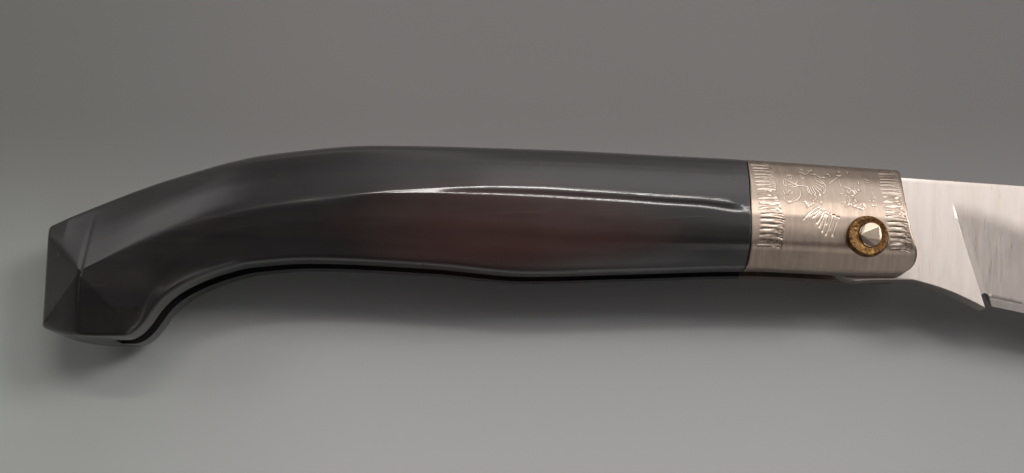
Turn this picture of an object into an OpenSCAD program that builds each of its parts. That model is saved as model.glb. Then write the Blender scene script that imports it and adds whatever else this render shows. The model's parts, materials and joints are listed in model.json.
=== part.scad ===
// Folding skinning knife: one piece of horn for a handle, slotted for the blade,
// a collar of nickel silver round its front end, and one rivet that is the pivot.
// The knife lies on its side, open. X runs to the tip, Y to the spine, Z up.
// Outlines are written from the pivot, on the knife's middle plane.

/* [Blade] */
// Distance from the pivot to the tip
blade_len = 105; // [98:1:112]
// Thickness of the blade at its root
blade_t = 3; // [2.4:0.1:3.6]
// Thickness of the blade near its tip
tip_t = 1.8; // [1.2:0.1:2.2]
// Height of the spine's line over the pivot
spine_h = 10.1; // [9.6:0.1:10.6]
// Fall of the spine's line for each millimetre towards the tip
spine_fall = 0.0714; // [0.05:0.01:0.1]
// Depth of the edge's belly below the pivot
belly_depth = 15; // [14:0.25:15.5]
// Depth of the edge at the choil
choil_depth = 8.9; // [8.4:0.1:9.2]
// Distance from the pivot to the kick's point
kick_x = 17.3; // [16.8:0.1:18.5]
// Depth of the kick's point below the pivot
kick_depth = 9.4; // [9.2:0.1:9.8]
// Thickness behind the sharpened edge
edge_t = 0.6; // [0.3:0.1:1]
// Width of the sharpened bevel
bevel_w = 0.9; // [0.5:0.1:1.5]
// Radius of the round notch in front of the kick
notch_r = 0.55; // [0.4:0.05:0.7]
// Radius of the tang's round back
tang_r = 5.5; // [5:0.1:5.8]
// Angle that the blade turns through to close
fold_deg = 175; // [172:0.5:177]

/* [Handle] */
// Thickness of the handle between its flat sides
handle_t = 14.8; // [13.6:0.2:17]
// Horn left over the slot where it is thinnest
back_wall = 3.7; // [3:0.1:5]
// Horn left behind the tip of the closed blade
butt_wall = 11.2; // [9:0.2:14]
// Length of the faceted point of the butt
gem_len = 6.9; // [5:0.1:8.5]
// Height of the butt's upper corner over the pivot
butt_top = 2.6; // [1.8:0.1:3.2]
// Depth of the butt's sole below the pivot
sole_depth = 14; // [13.2:0.1:15]
// Width of the blunt edge at the very end
butt_edge_w = 1.8; // [1.2:0.1:3]
// Depth of the handle's belly at the collar
front_depth = 5; // [4.7:0.1:5.4]
// Depth of the swell behind the collar
swell_depth = 5; // [4.6:0.1:6]
// Depth of the handle's hollow before the butt
hollow_depth = 3.1; // [2.4:0.1:4]
// Half width of the underside
belly_half = 6; // [5:0.1:6.3]
// Radius of the rounding along the underside
belly_round = 1.5; // [1:0.1:2]
// Radius of the rounded spine
spine_round = 4.5; // [3.6:0.1:5]

/* [Collar] */
// Distance from the pivot to the collar's front edge at its lower corner
collar_front = 6.8; // [6.6:0.1:7.8]
// Distance from the pivot to the collar's rear edge
collar_rear = 16.4; // [15:0.1:19]
// Lean of the collar's front and rear edges from top to bottom
collar_lean = 1.1; // [0.5:0.1:1.6]
// Radius of the collar's lower front corner
collar_corner = 1.7; // [1.2:0.1:2.2]
// Thickness of the collar's metal
sheet = 1.2; // [1:0.05:1.5]

/* [Pivot] */
// Diameter of the rivet
pin_d = 3; // [2.6:0.1:3.4]
// Height of the rivet's pointed end over its rosette
pin_proud = 1.1; // [0.8:0.1:1.6]
// Slope of the four facets on the rivet's ends
facet_deg = 28; // [18:1:36]
// Diameter of each brass rosette
rosette_d = 5.8; // [5.2:0.1:6.6]
// Height of each rosette's rim
rosette_t = 0.9; // [0.7:0.05:1.2]
// Height of the rosette where it meets the rivet
rosette_dish = 0.5; // [0.4:0.05:0.6]
// Diameter of the thin washers beside the tang
shim_d = 9.2; // [8:0.1:9.6]
// Thickness of the thin washers
shim_t = 0.3; // [0.2:0.05:0.4]

/* [Clearances] */
// Radial clearance of the rivet in the blade
run_gap = 0.05; // [0.03:0.01:0.08]
// Radial clearance of the rivet in the fixed pieces
pin_gap = 0.02; // [0.01:0.01:0.04]
// Gap on each side of each washer
side_gap = 0.025; // [0.02:0.005:0.05]
// Gap between the open blade's spine and the collar's roof
stop_gap = 0.04; // [0.03:0.01:0.08]
// Gap between the closed blade's edge and the slot's floor
floor_gap = 0.8; // [0.6:0.1:1.2]
// Glue line between the collar and the horn
glue = 0.05; // [0.03:0.01:0.1]

/* [Hidden] */
$fn = 96;
half_t = handle_t / 2;
pin_r = pin_d / 2;
slot_half = blade_t / 2 + shim_t + 2 * side_gap;
butt_x = -(blade_len + butt_wall);
apex_x = butt_x + gem_len;
pocket_back = -(tang_r + 1.5);
past = 4;
nib = 0.02;
stations = 46;
gem_stations = 7;
pin_end = half_t + rosette_dish + pin_proud;

// Slope of the chord from point i of a curve to the next
function chord(p, i) = (p[i + 1][1] - p[i][1]) / (p[i + 1][0] - p[i][0]);

// Slope of a curve at its point i, level where it turns back
function tangent(p, i) =
    i == 0 ? chord(p, 0)
    : i == len(p) - 1 ? chord(p, i - 1)
    : chord(p, i - 1) * chord(p, i) <= 0 ? 0
    : 2 * chord(p, i - 1) * chord(p, i) / (chord(p, i - 1) + chord(p, i));

// Height at x of the smooth curve through the points p, by a cubic in each stretch
function curve(p, x) =
    let (
        i = max([0, for (k = [0 : len(p) - 2]) if (p[k][0] <= x) k]),
        h = p[i + 1][0] - p[i][0],
        t = (x - p[i][0]) / h
    )
    p[i][1] * (1 + 2 * t) * pow(1 - t, 2)
    + h * tangent(p, i) * t * pow(1 - t, 2)
    + p[i + 1][1] * t * t * (3 - 2 * t)
    + h * tangent(p, i + 1) * t * t * (t - 1);

function blend(a, b, t) = a + (b - a) * t;

// Where a point of the open blade lies once it is folded
function folded(u, v) = [
    u * cos(fold_deg) + v * sin(fold_deg),
    -u * sin(fold_deg) + v * cos(fold_deg)
];

// Spine of the blade: straight for more than half its length, then it drops to the tip
tip_v = spine_h * 0.12;
tip_h = edge_t;
function spine_line(u) = spine_h - spine_fall * u;
drop_u = blade_len * 0.57;
spine_pts = [
    [0, spine_line(0)],
    [drop_u, spine_line(drop_u)],
    [blade_len * 0.8, blend(spine_line(blade_len * 0.8), tip_v, 0.08)],
    [blade_len * 0.92, blend(spine_line(blade_len * 0.92), tip_v, 0.4)],
    [blade_len, tip_v]
];

// Cutting edge: it runs down from the choil into a full belly and sweeps up to the tip
choil_u = kick_x + 2.5 * notch_r;
edge_pts = [
    [choil_u, -choil_depth],
    [blend(choil_u, blade_len, 0.19), -blend(choil_depth, belly_depth, 0.56)],
    [blend(choil_u, blade_len, 0.36), -blend(choil_depth, belly_depth, 0.92)],
    [blend(choil_u, blade_len, 0.48), -belly_depth],
    [blend(choil_u, blade_len, 0.66), -belly_depth * 0.9],
    [blend(choil_u, blade_len, 0.83), -belly_depth * 0.6],
    [blend(choil_u, blade_len, 0.94), -belly_depth * 0.25],
    [blade_len, tip_v - tip_h]
];

// Floor of the slot: the folded edge, lifted by its gap
floor_steps = 22;
floor_pts = [
    for (i = [0 : floor_steps])
    let (u = blend(choil_u, blade_len, i / floor_steps), p = folded(u, curve(edge_pts, u)))
    p + [-floor_gap * pow(i / floor_steps, 4), floor_gap]
];
kick_closed = folded(kick_x, -kick_depth);

// Height of the handle's spine at its highest
peak = max([for (p = floor_pts) p[1]]) + back_wall;

// The row frame: the middle of the open knife's box, with its lowest point on the floor
mid_x = (blade_len + butt_x) / 2;
mid_y = (peak - belly_depth) / 2;
rest_z = pin_end;

// Top of the handle, from the butt to the collar
function collar_top(x) = spine_line(x) + stop_gap + sheet;
horn_len = -butt_x - collar_rear;
function along_horn(t) = butt_x + horn_len * t;
top_pts = [
    [butt_x, butt_top],
    [along_horn(0.035), blend(butt_top, peak, 0.135)],
    [along_horn(0.18), blend(butt_top, peak, 0.6)],
    [along_horn(0.32), blend(butt_top, peak, 0.893)],
    [along_horn(0.47), peak],
    [along_horn(0.72), blend(collar_top(-collar_rear), peak, 0.7)],
    [along_horn(0.87), blend(collar_top(-collar_rear), peak, 0.34)],
    [-collar_rear, collar_top(-collar_rear)],
    [collar_front + past, collar_top(collar_front + past)]
];

// Underside of the handle, from the butt's sole to the collar
belly_pts = [
    [butt_x, blend(-sole_depth, -hollow_depth, 0.1)],
    [along_horn(0.04), -sole_depth + 0.02 * gem_len],
    [along_horn(0.13), -sole_depth],
    [along_horn(0.145), blend(-sole_depth, -hollow_depth, 0.06)],
    [along_horn(0.158), blend(-sole_depth, -hollow_depth, 0.18)],
    [along_horn(0.174), blend(-sole_depth, -hollow_depth, 0.4)],
    [along_horn(0.19), blend(-sole_depth, -hollow_depth, 0.55)],
    [along_horn(0.217), blend(-sole_depth, -hollow_depth, 0.705)],
    [along_horn(0.2525), blend(-sole_depth, -hollow_depth, 0.84)],
    [along_horn(0.3), blend(-sole_depth, -hollow_depth, 0.95)],
    [along_horn(0.38), -hollow_depth],
    [along_horn(0.55), blend(-hollow_depth, -swell_depth, 0.4)],
    [along_horn(0.69), -swell_depth],
    [along_horn(0.82), -blend(swell_depth, hollow_depth, 0.16)],
    [-collar_rear, -blend(swell_depth, hollow_depth, 0.4)],
    [0, -front_depth + 0.02 * tang_r],
    [collar_front + past, -front_depth]
];

// The ridge along each side, from the gem's apex; it opens into a flat towards the collar
apex_y = blend(butt_top, -sole_depth, 0.455);
ridge_y = peak * 0.43;
hi_pts = [
    [apex_x, apex_y],
    [along_horn(0.165), blend(apex_y, ridge_y, 0.44)],
    [along_horn(0.235), blend(apex_y, ridge_y, 0.67)],
    [along_horn(0.37), blend(apex_y, ridge_y, 0.91)],
    [along_horn(0.56), ridge_y],
    [along_horn(0.79), ridge_y * 0.9],
    [-collar_rear, ridge_y * 0.7],
    [collar_front + past, ridge_y * 0.52]
];
crest = 0.16;
flat_low = -pin_d * 0.4;
lo_pts = [
    [apex_x, apex_y - crest],
    [along_horn(0.165), blend(apex_y, ridge_y, 0.44) - crest],
    [along_horn(0.235), blend(apex_y, ridge_y, 0.67) - crest],
    [along_horn(0.37), blend(apex_y, ridge_y, 0.91) - crest],
    [along_horn(0.56), ridge_y - 2 * crest],
    [along_horn(0.79), ridge_y * 0.6],
    [-collar_rear, flat_low],
    [collar_front + past, flat_low]
];

// Share of the way from the butt's end to the apex, 1 from there on
function gem(x) = min(1, (x - butt_x) / gem_len);
function flat_z(x) = blend(butt_edge_w / 2, half_t, gem(x));
function flat_hi(x) = gem(x) < 1 ? blend(butt_top - butt_edge_w * 0.6, apex_y, gem(x)) : curve(hi_pts, x);
function flat_lo(x) = gem(x) < 1 ? blend(-sole_depth * 0.84, apex_y - crest, gem(x)) : curve(lo_pts, x);
function under_z(x) = blend(butt_edge_w / 2, belly_half, min(1, sin(90 * min(1, (x - butt_x) / (gem_len * 0.8)))));

// The crease from the apex down to the sole's front corner: how far down it is, and how proud
crease_len = gem_len * 0.85;
function crease_t(x) = (x - apex_x) / crease_len;
function crease_at(x) =
    crease_t(x) < 0 ? 0.5
    : crease_t(x) <= 1 ? blend(0.08, 0.86, crease_t(x))
    : blend(0.86, 0.5, min(1, (crease_t(x) - 1) / 2));
function crease_out(x) = crease_t(x) < 0 ? 0 : 0.1 + 0.4 * sin(160 * min(1, crease_t(x)));

// Half of the handle's section at x, from the spine down to the underside, as [z, y]
function half_section(x) =
    let (
        top = curve(top_pts, x),
        low = curve(belly_pts, x),
        z = flat_z(x),
        k = min(1, 0.85 * z / (spine_round * sin(45))),
        s = spine_round * k,
        r = min(belly_round, under_z(x) * 0.6),
        c = under_z(x) - r,
        a = [s * sin(45), top - s * (1 - cos(45))],
        b = [z, flat_hi(x)],
        d = [z, flat_lo(x)],
        e = [under_z(x), low + r],
        m = crease_at(x)
    )
    [
        [0, top],
        [s * sin(22), top - s * (1 - cos(22))],
        a,
        blend(a, b, 0.5) + [0.35 * k, 0.35 * k],
        b,
        d,
        blend(d, e, m) + [crease_out(x), 0],
        e,
        [c + r * cos(45), low + r - r * sin(45)],
        [c, low],
        [0, low]
    ];

// The same points moved inwards by a wall's thickness, square to the surface
function inset(p, wall) = [
    for (i = [0 : len(p) - 1])
    let (
        run = p[min(i + 1, len(p) - 1)] - p[max(i - 1, 0)],
        n = [-run[1], run[0]] / norm(run)
    )
    (i == 0 || i == len(p) - 1) ? p[i] - [0, i == 0 ? wall : -wall] : p[i] - n * wall
];

function ring(half) = concat(half, [for (i = [len(half) - 2 : -1 : 1]) [-half[i][0], half[i][1]]]);

// A closed skin through rings of the same number of points, each at its own x
module skin(xs, rings) {
    n = len(rings[0]);
    last = len(xs) - 1;
    polyhedron(
        points = [for (s = [0 : last]) for (p = rings[s]) [xs[s], p[1], p[0]]],
        faces = concat(
            [[for (i = [0 : n - 1]) i]],
            [for (s = [0 : last - 1]) for (i = [0 : n - 1])
                [s * n + i, (s + 1) * n + i, (s + 1) * n + (i + 1) % n]],
            [for (s = [0 : last - 1]) for (i = [0 : n - 1])
                [s * n + i, (s + 1) * n + (i + 1) % n, s * n + (i + 1) % n]],
            [[for (i = [n - 1 : -1 : 0]) last * n + i]]
        )
    );
}

// The handle's outer body, close stations at the butt and wider ones to the front
module outer_body() {
    reach = collar_front + past - apex_x;
    xs = concat(
        [for (i = [0 : gem_stations - 1]) butt_x + gem_len * i / gem_stations],
        [for (i = [0 : stations - 1]) apex_x + reach * pow(i / (stations - 1), 1.3)]
    );
    skin(xs, [for (x = xs) ring(half_section(x))]);
}

// The body inside the collar, smaller by the metal's thickness
module inner_body(wall) {
    x0 = -collar_rear - collar_lean - 1;
    count = 9;
    xs = [for (i = [0 : count]) blend(x0, collar_front + past, i / count)];
    skin(xs, [for (x = xs) ring(inset(half_section(x), wall))]);
}

module slab(half_z) {
    translate([0, 0, -half_z]) linear_extrude(2 * half_z) children();
}

// The leaning joint between horn and collar, as two points of its line in side view
joint_low = -collar_rear - collar_lean / 2;
joint_lean = collar_lean / (collar_top(0) + front_depth);
joint_top = joint_low + joint_lean * (peak + past + front_depth);

// Side view of the collar, leaning edges and a round lower front corner, grown by grow at the rear
module collar_outline(grow) {
    top = peak + past;
    low = -front_depth - past;
    r = collar_corner;
    corner = [collar_front - r, -front_depth + r];
    polygon(concat(
        [
            [joint_top - grow, top],
            [joint_low - grow, -front_depth],
            [joint_low - grow, low],
            [corner[0], low]
        ],
        [for (a = [-90 : 15 : 0]) corner + r * [cos(a), sin(a)]],
        [
            [collar_front - collar_lean, 0],
            [collar_front - collar_lean, top]
        ]
    ));
}

// Side view of all that lies ahead of the joint
module ahead_of_joint() {
    top = peak + past;
    low = -sole_depth - past;
    polygon([
        [joint_top, top],
        [joint_low, -front_depth],
        [joint_low, low],
        [collar_front + 2 * past, low],
        [collar_front + 2 * past, top]
    ]);
}

// The slot that takes the blade: through to the collar's roof at the pivot, then the folded edge's floor
module slot() {
    end = floor_pts[len(floor_pts) - 1];
    ledge = kick_closed[1] + stop_gap;
    under = -belly_depth - past;
    roof = collar_front + past;
    slab(slot_half) polygon(concat(
        [
            [roof, under],
            [roof, spine_line(roof) + stop_gap],
            [pocket_back, spine_line(pocket_back) + stop_gap],
            [pocket_back, ledge],
            [kick_closed[0] - 2 * notch_r, ledge]
        ],
        [for (i = [1 : floor_steps]) floor_pts[i]],
        [
            [end[0], under]
        ]
    ));
}

module bore(r) {
    translate([0, 0, -handle_t]) cylinder(r = r, h = 2 * handle_t);
}

// Moves the knife from the pivot's frame to the row frame
module placed() {
    translate([-mid_x, -mid_y, rest_z]) children();
}

module handle() {
    color([0.09, 0.08, 0.08]) placed() difference() {
        union() {
            difference() {
                outer_body();
                slab(handle_t) ahead_of_joint();
            }
            intersection() {
                inner_body(sheet + glue);
                slab(handle_t) translate([-glue, 0]) collar_outline(1);
            }
        }
        slot();
        bore(pin_r + pin_gap);
    }
}

module collar() {
    color([0.72, 0.68, 0.6]) placed() difference() {
        intersection() {
            outer_body();
            slab(handle_t) collar_outline(0);
        }
        inner_body(sheet);
        slot();
        bore(pin_r + pin_gap);
    }
}

// Flat part of the blade: tang, the shoulder that meets the roof, and ricasso down to the kick
plunge_lean = 0.256;
plunge_u = kick_x - (kick_depth + spine_line(kick_x)) * plunge_lean;
shoulder_u = spine_h * spine_fall + 0.05;
module ricasso() {
    back = 86;
    polygon(concat(
        [
            [shoulder_u, spine_line(shoulder_u)],
            [shoulder_u, tang_r * sin(back)]
        ],
        [for (a = [back : 8 : 262]) tang_r * [cos(a), sin(a)]],
        [
            [tang_r * 0.4, -tang_r * 0.955],
            [blend(0, kick_x, 0.37), -blend(tang_r, kick_depth, -0.06)],
            [blend(0, kick_x, 0.55), -blend(tang_r, kick_depth, 0.12)],
            [blend(0, kick_x, 0.74), -blend(tang_r, kick_depth, 0.42)],
            [blend(0, kick_x, 0.9), -blend(tang_r, kick_depth, 0.76)],
            [kick_x, -kick_depth],
            [plunge_u, spine_line(plunge_u)]
        ]
    ));
}

// Ground part of the blade: sections from spine to edge, leaning as the plunge line does
blade_stations = 30;
grind_start = 0.2;
loft_end = 0.995;
loft_u = kick_x + (blade_len - kick_x) / loft_end;
function blade_point(s, q) =
    let (
        us = blend(plunge_u, loft_u, s),
        ue = blend(kick_x, loft_u, s),
        top = curve(spine_pts, us),
        low = s < 0.02 ? -choil_depth : curve(edge_pts, max(ue, choil_u))
    )
    [blend(us, ue, q), blend(top, low, q)];

function blade_half(s, q) =
    let (
        full = blend(blade_t, tip_t, pow(max(s, 0), 1.5)) / 2,
        r = max(0, (q - grind_start) / (1 - grind_start))
    )
    q >= 1 ? nib : min(full, edge_t / 2 + max(0, full - edge_t / 2) * pow(1 - r, 1.25));

module ground_blade() {
    first = -0.025;
    bevel_q = 1 - bevel_w / (belly_depth + spine_h - belly_depth * spine_fall);
    qs = [0, 0.1, grind_start, 0.38, 0.56, 0.76, bevel_q, 1];
    m = len(qs);
    n = 2 * m;
    last = blade_stations;
    ss = [for (i = [0 : last]) blend(first, loft_end, 1 - pow(1 - i / last, 1.35))];
    polyhedron(
        points = [
            for (s = ss)
            for (k = [0 : n - 1])
            let (
                q = k < m ? qs[k] : qs[n - 1 - k],
                side = k < m ? 1 : -1,
                inside = s < 0 ? 0.97 : 1,
                p = blade_point(s, q)
            )
            [p[0], s < 0 ? p[1] * 0.99 : p[1], side * blade_half(s, q) * inside]
        ],
        faces = concat(
            [[for (i = [0 : n - 1]) i]],
            [for (s = [0 : last - 1]) for (i = [0 : n - 1])
                [s * n + i, (s + 1) * n + i, (s + 1) * n + (i + 1) % n]],
            [for (s = [0 : last - 1]) for (i = [0 : n - 1])
                [s * n + i, (s + 1) * n + (i + 1) % n, s * n + (i + 1) % n]],
            [[for (i = [n - 1 : -1 : 0]) last * n + i]]
        )
    );
}

// The notch in front of the kick, where sharpening stops
module notch() {
    cx = kick_x + notch_r * 0.5;
    top = -kick_depth + 4.2 * notch_r;
    slab(blade_t) {
        translate([cx, top - notch_r]) circle(notch_r);
        polygon([
            [cx - notch_r, top - notch_r],
            [kick_x - nib, -kick_depth],
            [kick_x - nib, -belly_depth],
            [choil_u + past * 0.25, -belly_depth],
            [choil_u, -choil_depth],
            [cx + notch_r * 0.95, top - notch_r * 0.7]
        ]);
    }
}

module blade() {
    color([0.76, 0.74, 0.7]) placed() difference() {
        union() {
            slab(blade_t / 2) ricasso();
            ground_blade();
        }
        notch();
        bore(pin_r + run_gap);
    }
}

module pivot_pin() {
    color([0.8, 0.78, 0.72]) placed() difference() {
        translate([0, 0, -pin_end]) cylinder(r = pin_r, h = 2 * pin_end);
        for (side = [0, 180]) {
            for (turn = [20 : 90 : 290]) {
                rotate([side, 0, 0]) rotate(turn) translate([0, 0, pin_end]) rotate([0, facet_deg, 0])
                    translate([0, -pin_d, 0]) cube([2 * pin_d, 2 * pin_d, pin_d]);
            }
        }
    }
}

// A dished brass washer: flat back, raised rim, lower where it meets the rivet
module rosette() {
    r = rosette_d / 2;
    translate([0, 0, half_t]) rotate_extrude() polygon([
        [pin_r + pin_gap, 0],
        [r, 0],
        [r, rosette_t * 0.45],
        [r - rosette_t * 0.3, rosette_t],
        [r - rosette_t * 0.7, rosette_t * 0.9],
        [pin_r + rosette_t * 0.3, rosette_dish],
        [pin_r + pin_gap, rosette_dish]
    ]);
}

module front_rosette() {
    color([0.62, 0.44, 0.2]) placed() rosette();
}

module back_rosette() {
    color([0.62, 0.44, 0.2]) placed() rotate([180, 0, 0]) rosette();
}

// A thin bronze washer beside the tang
module shim() {
    translate([0, 0, blade_t / 2 + side_gap]) difference() {
        cylinder(d = shim_d, h = shim_t);
        translate([0, 0, -shim_t]) cylinder(r = pin_r + pin_gap, h = 3 * shim_t);
    }
}

module front_shim() {
    color([0.7, 0.48, 0.26]) placed() shim();
}

module back_shim() {
    color([0.7, 0.48, 0.26]) placed() rotate([180, 0, 0]) shim();
}

handle();
collar();
blade();
pivot_pin();
front_rosette();
back_rosette();
front_shim();
back_shim();
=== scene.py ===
# %% [markdown]
# # A folding skinning knife
#
# The knife is one piece of black horn, slotted from below, with a metal collar folded round its front end and one
# rivet that is the blade's pivot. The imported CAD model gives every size. This lesson dresses it: each visible piece
# is worked out again as a fine surface, with the soft creases, the engraving and the grind that solids leave out.

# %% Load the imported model
import json
import math

import bmesh
import bpy
import numpy as np
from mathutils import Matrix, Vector


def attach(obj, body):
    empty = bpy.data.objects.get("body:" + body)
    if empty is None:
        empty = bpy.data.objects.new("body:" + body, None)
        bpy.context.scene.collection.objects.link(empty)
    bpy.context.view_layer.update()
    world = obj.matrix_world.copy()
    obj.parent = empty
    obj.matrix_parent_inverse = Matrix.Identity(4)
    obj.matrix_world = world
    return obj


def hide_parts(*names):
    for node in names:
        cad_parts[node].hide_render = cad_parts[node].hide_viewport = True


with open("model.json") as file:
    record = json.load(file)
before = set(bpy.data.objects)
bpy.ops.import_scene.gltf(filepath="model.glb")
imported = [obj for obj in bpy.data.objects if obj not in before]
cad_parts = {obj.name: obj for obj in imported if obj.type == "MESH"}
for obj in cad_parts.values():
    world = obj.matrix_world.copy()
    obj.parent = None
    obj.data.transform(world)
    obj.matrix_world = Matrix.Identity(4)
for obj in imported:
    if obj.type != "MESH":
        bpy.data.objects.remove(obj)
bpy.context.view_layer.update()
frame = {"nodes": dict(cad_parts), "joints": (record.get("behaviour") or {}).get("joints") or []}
MM = 0.001
pivot = np.array(frame["joints"][0]["pos_m"])

# %% [markdown]
# ## The camera
#
# The photograph looks down on the knife from a hand's length, leaning a little towards its belly, so the underside
# shows as a thin dark band. A camera fitted to the outline needs its distance, its lean and its focal length in pixels.
# It comes first.

# %% Place the camera
image_width = 1024
focal_px = 1531.0
distance = 220 * MM
lean = math.radians(11.5)
look_at = Vector(pivot) + Vector((-49.6, 1.25, 0.0)) * MM
backwards = Vector((0.0, -math.sin(lean), math.cos(lean)))

camera = bpy.data.objects.new("camera", bpy.data.cameras.new("camera"))
camera.data.sensor_width = 36.0
camera.data.lens = focal_px * camera.data.sensor_width / image_width
camera.data.clip_start = 0.01
camera.location = look_at + backwards * distance
camera.rotation_euler = backwards.to_track_quat("Z", "Y").to_euler()
bpy.context.collection.objects.link(camera)
bpy.context.scene.camera = camera
print("lens", round(camera.data.lens, 2), "mm")

# %% [markdown]
# ## Outlines as curves
#
# The handle's top, its belly and the ridge along its side are drawn through a few measured points, in millimetres
# from the pivot, as the CAD source draws them. A cubic in each stretch follows the points without waves. Averaging
# it over a short reach takes out the last change of bend, which polished horn would show as a kink in its shine.


# %% Curves through points
def curve(points, x):
    """Height at x of the curve through points. In each stretch it is the cubic whose end slopes are the harmonic
    means of the neighbouring chords, or level where the curve turns back."""
    px, py = np.array(points, float).T
    x = np.asarray(x, float)
    chord = np.diff(py) / np.diff(px)
    both = chord[:-1] * chord[1:]
    total = np.where(both > 0, chord[:-1] + chord[1:], 1.0)
    slope = np.concatenate([chord[:1], np.where(both > 0, 2 * both / total, 0.0), chord[-1:]])
    i = np.clip(np.searchsorted(px, x, side="right") - 1, 0, len(px) - 2)
    h = px[i + 1] - px[i]
    t = (x - px[i]) / h
    return (py[i] * (1 + 2 * t) * (1 - t) ** 2 + h * slope[i] * t * (1 - t) ** 2
            + py[i + 1] * t * t * (3 - 2 * t) + h * slope[i + 1] * t * t * (t - 1))


def soft_curve(points, x, reach):
    """The same curve, averaged over nine places within reach on either side of x."""
    shifts = np.linspace(-reach, reach, 9)
    weights = 1.05 - (shifts / reach) ** 2
    return sum(w * curve(points, x + s) for w, s in zip(weights, shifts)) / weights.sum()


def mix(a, b, t):
    return a + (b - a) * t


def step(x, low, high):
    """Smooth step from 0 at low to 1 at high: 3t^2 - 2t^3 of the share t of the way."""
    t = np.clip((x - low) / (high - low), 0.0, 1.0)
    return t * t * (3 - 2 * t)


def soft_ramp(x, ease):
    """0 below -ease, x above ease, and (x + ease)^2 / (4 ease) between them."""
    return np.where(x < -ease, 0.0, np.where(x > ease, x, (x + ease) ** 2 / (4 * ease)))


# %% [markdown]
# ## The measured outlines
#
# The sizes are the CAD source's own. The belly and the two lines of the ridge were measured in the photograph.

# %% Measured sizes, in millimetres from the pivot
blade_len, spine_h, spine_fall = 105.0, 10.1, 0.0714
kick_x, kick_depth, tang_r, choil_depth, belly_depth = 17.3, 9.4, 5.5, 8.9, 14.998
half_t, butt_x, peak = 7.4, -116.2, 14.6156
butt_top, sole_depth, gem_len, butt_edge_w = 2.6, 14.0, 6.9, 1.8
front_depth, swell_depth, hollow_depth = 5.0, 5.0, 3.1
belly_half, belly_round, spine_round = 6.0, 1.5, 4.5
collar_rear, collar_lean, sheet, stop_gap, glue = 16.4, 1.1, 1.2, 0.04, 0.05
pin_r, slot_half, past = 1.5, 1.85, 4.0
front_limit = 6.8 + past


def spine_line(u):
    return spine_h - spine_fall * u


def collar_top(x):
    return spine_line(x) + stop_gap + sheet


def along(t):
    """Place along the horn: 0 at the butt, 1 at the collar."""
    return mix(butt_x, -collar_rear, t)


def sole(t):
    """Depth of the belly: 0 is the sole of the butt, 1 the hollow before it."""
    return mix(-sole_depth, -hollow_depth, t)


top_line = [
    (butt_x, butt_top), (along(0.035), mix(butt_top, peak, 0.135)), (along(0.18), mix(butt_top, peak, 0.6)),
    (along(0.32), mix(butt_top, peak, 0.893)), (along(0.47), peak),
    (along(0.72), mix(collar_top(-collar_rear), peak, 0.7)), (along(0.87), mix(collar_top(-collar_rear), peak, 0.34)),
    (-collar_rear, collar_top(-collar_rear)), (front_limit, collar_top(front_limit)),
]
rise_to_hollow = [(0.145, 0.06), (0.158, 0.18), (0.174, 0.4), (0.19, 0.55), (0.217, 0.705), (0.2525, 0.84), (0.3, 0.95)]
belly_line = [
    (butt_x, sole(0.185)), (-113.6, -13.0), (-110.9, -13.75), (-107.1, -sole_depth), (along(0.13), -sole_depth),
    *[(along(t), sole(share)) for t, share in rise_to_hollow],
    (along(0.38), -hollow_depth), (along(0.55), mix(-hollow_depth, -swell_depth, 0.4)), (along(0.69), -swell_depth),
    (along(0.82), -mix(swell_depth, hollow_depth, 0.16)), (-collar_rear, -mix(swell_depth, hollow_depth, 0.4)),
    (0.0, -front_depth + 0.02 * tang_r), (front_limit, -front_depth),
]
apex_x, apex_y = butt_x + gem_len, mix(butt_top, -sole_depth, 0.455)
ridge_y, crest = peak * 0.43, 0.16
climb = [(apex_x, apex_y)]
climb += [(along(t), mix(apex_y, ridge_y, share)) for t, share in [(0.165, 0.44), (0.235, 0.67), (0.37, 0.91)]]
ridge_x = [-72.0, -67.8, -62.4, -56.9, -51.3, -45.7, -40.1, -34.5, -28.9, -23.4, -17.5, front_limit]
upper_y = [5.95, 6.3, 6.7, 7.15, 7.4, 7.35, 7.08, 6.75, 6.3, 6.0, 5.6, 4.5]
lower_y = [5.75, 5.93, 5.95, 5.8, 5.6, 5.33, 4.98, 4.65, 4.22, 3.85, 3.05, 2.1]
upper_ridge = climb + list(zip(ridge_x, upper_y))
lower_ridge = [(x, y - crest) for x, y in climb] + list(zip(ridge_x, lower_y))
print("handle", round(-butt_x - collar_rear, 1), "mm of horn, collar to", round(front_limit - past, 1), "mm")

# %% [markdown]
# ## A section of the handle
#
# Seen from its end the handle is a rounded spine, a long sloping facet, a ridge, a side that tapers in, and a flat
# underside. Each section is a short row of corners. The corners are then softened: near a corner the path leaves its
# straight stretch and bends along a quadratic curve, so one number sets how crisp each crease is.


# %% Corners of half a section
end_round, facet_soft, inset = 0.5, 0.1, 0.01
# Stretches of the handle, from and to, over which one form turns into another.
spine_grows, foot_grows, side_fills = (-110.0, -88.0), (-104.0, -92.0), (-60.0, -18.0)
strip_starts, ridge_widens, ridge_parts = (-90.0, -80.0), (-86.0, -70.0), (-78.0, -67.0)
groove_starts, groove_deepens, metal_starts = (-61.0, -54.0), (-50.0, -30.0), (-19.5, -16.6)
crease_at_line = [(-1.0, -0.7), (0.0, 0.08), (1.0, 0.86), (3.0, 0.5), (99.0, 0.5)]
crease_out_line = [(-1.0, 0.1), (0.0, 0.1), (0.5, 0.5), (1.2, 0.24), (99.0, 0.24)]


def at(z, y):
    """Points (z, y) from two values of one shape."""
    return np.stack(np.broadcast_arrays(z, y), axis=-1)


def towards(start, way, length):
    """The point that lies length from start, the way that another vector points."""
    return start + way * length / np.maximum(np.linalg.norm(way, axis=-1, keepdims=True), 1e-9)


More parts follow.
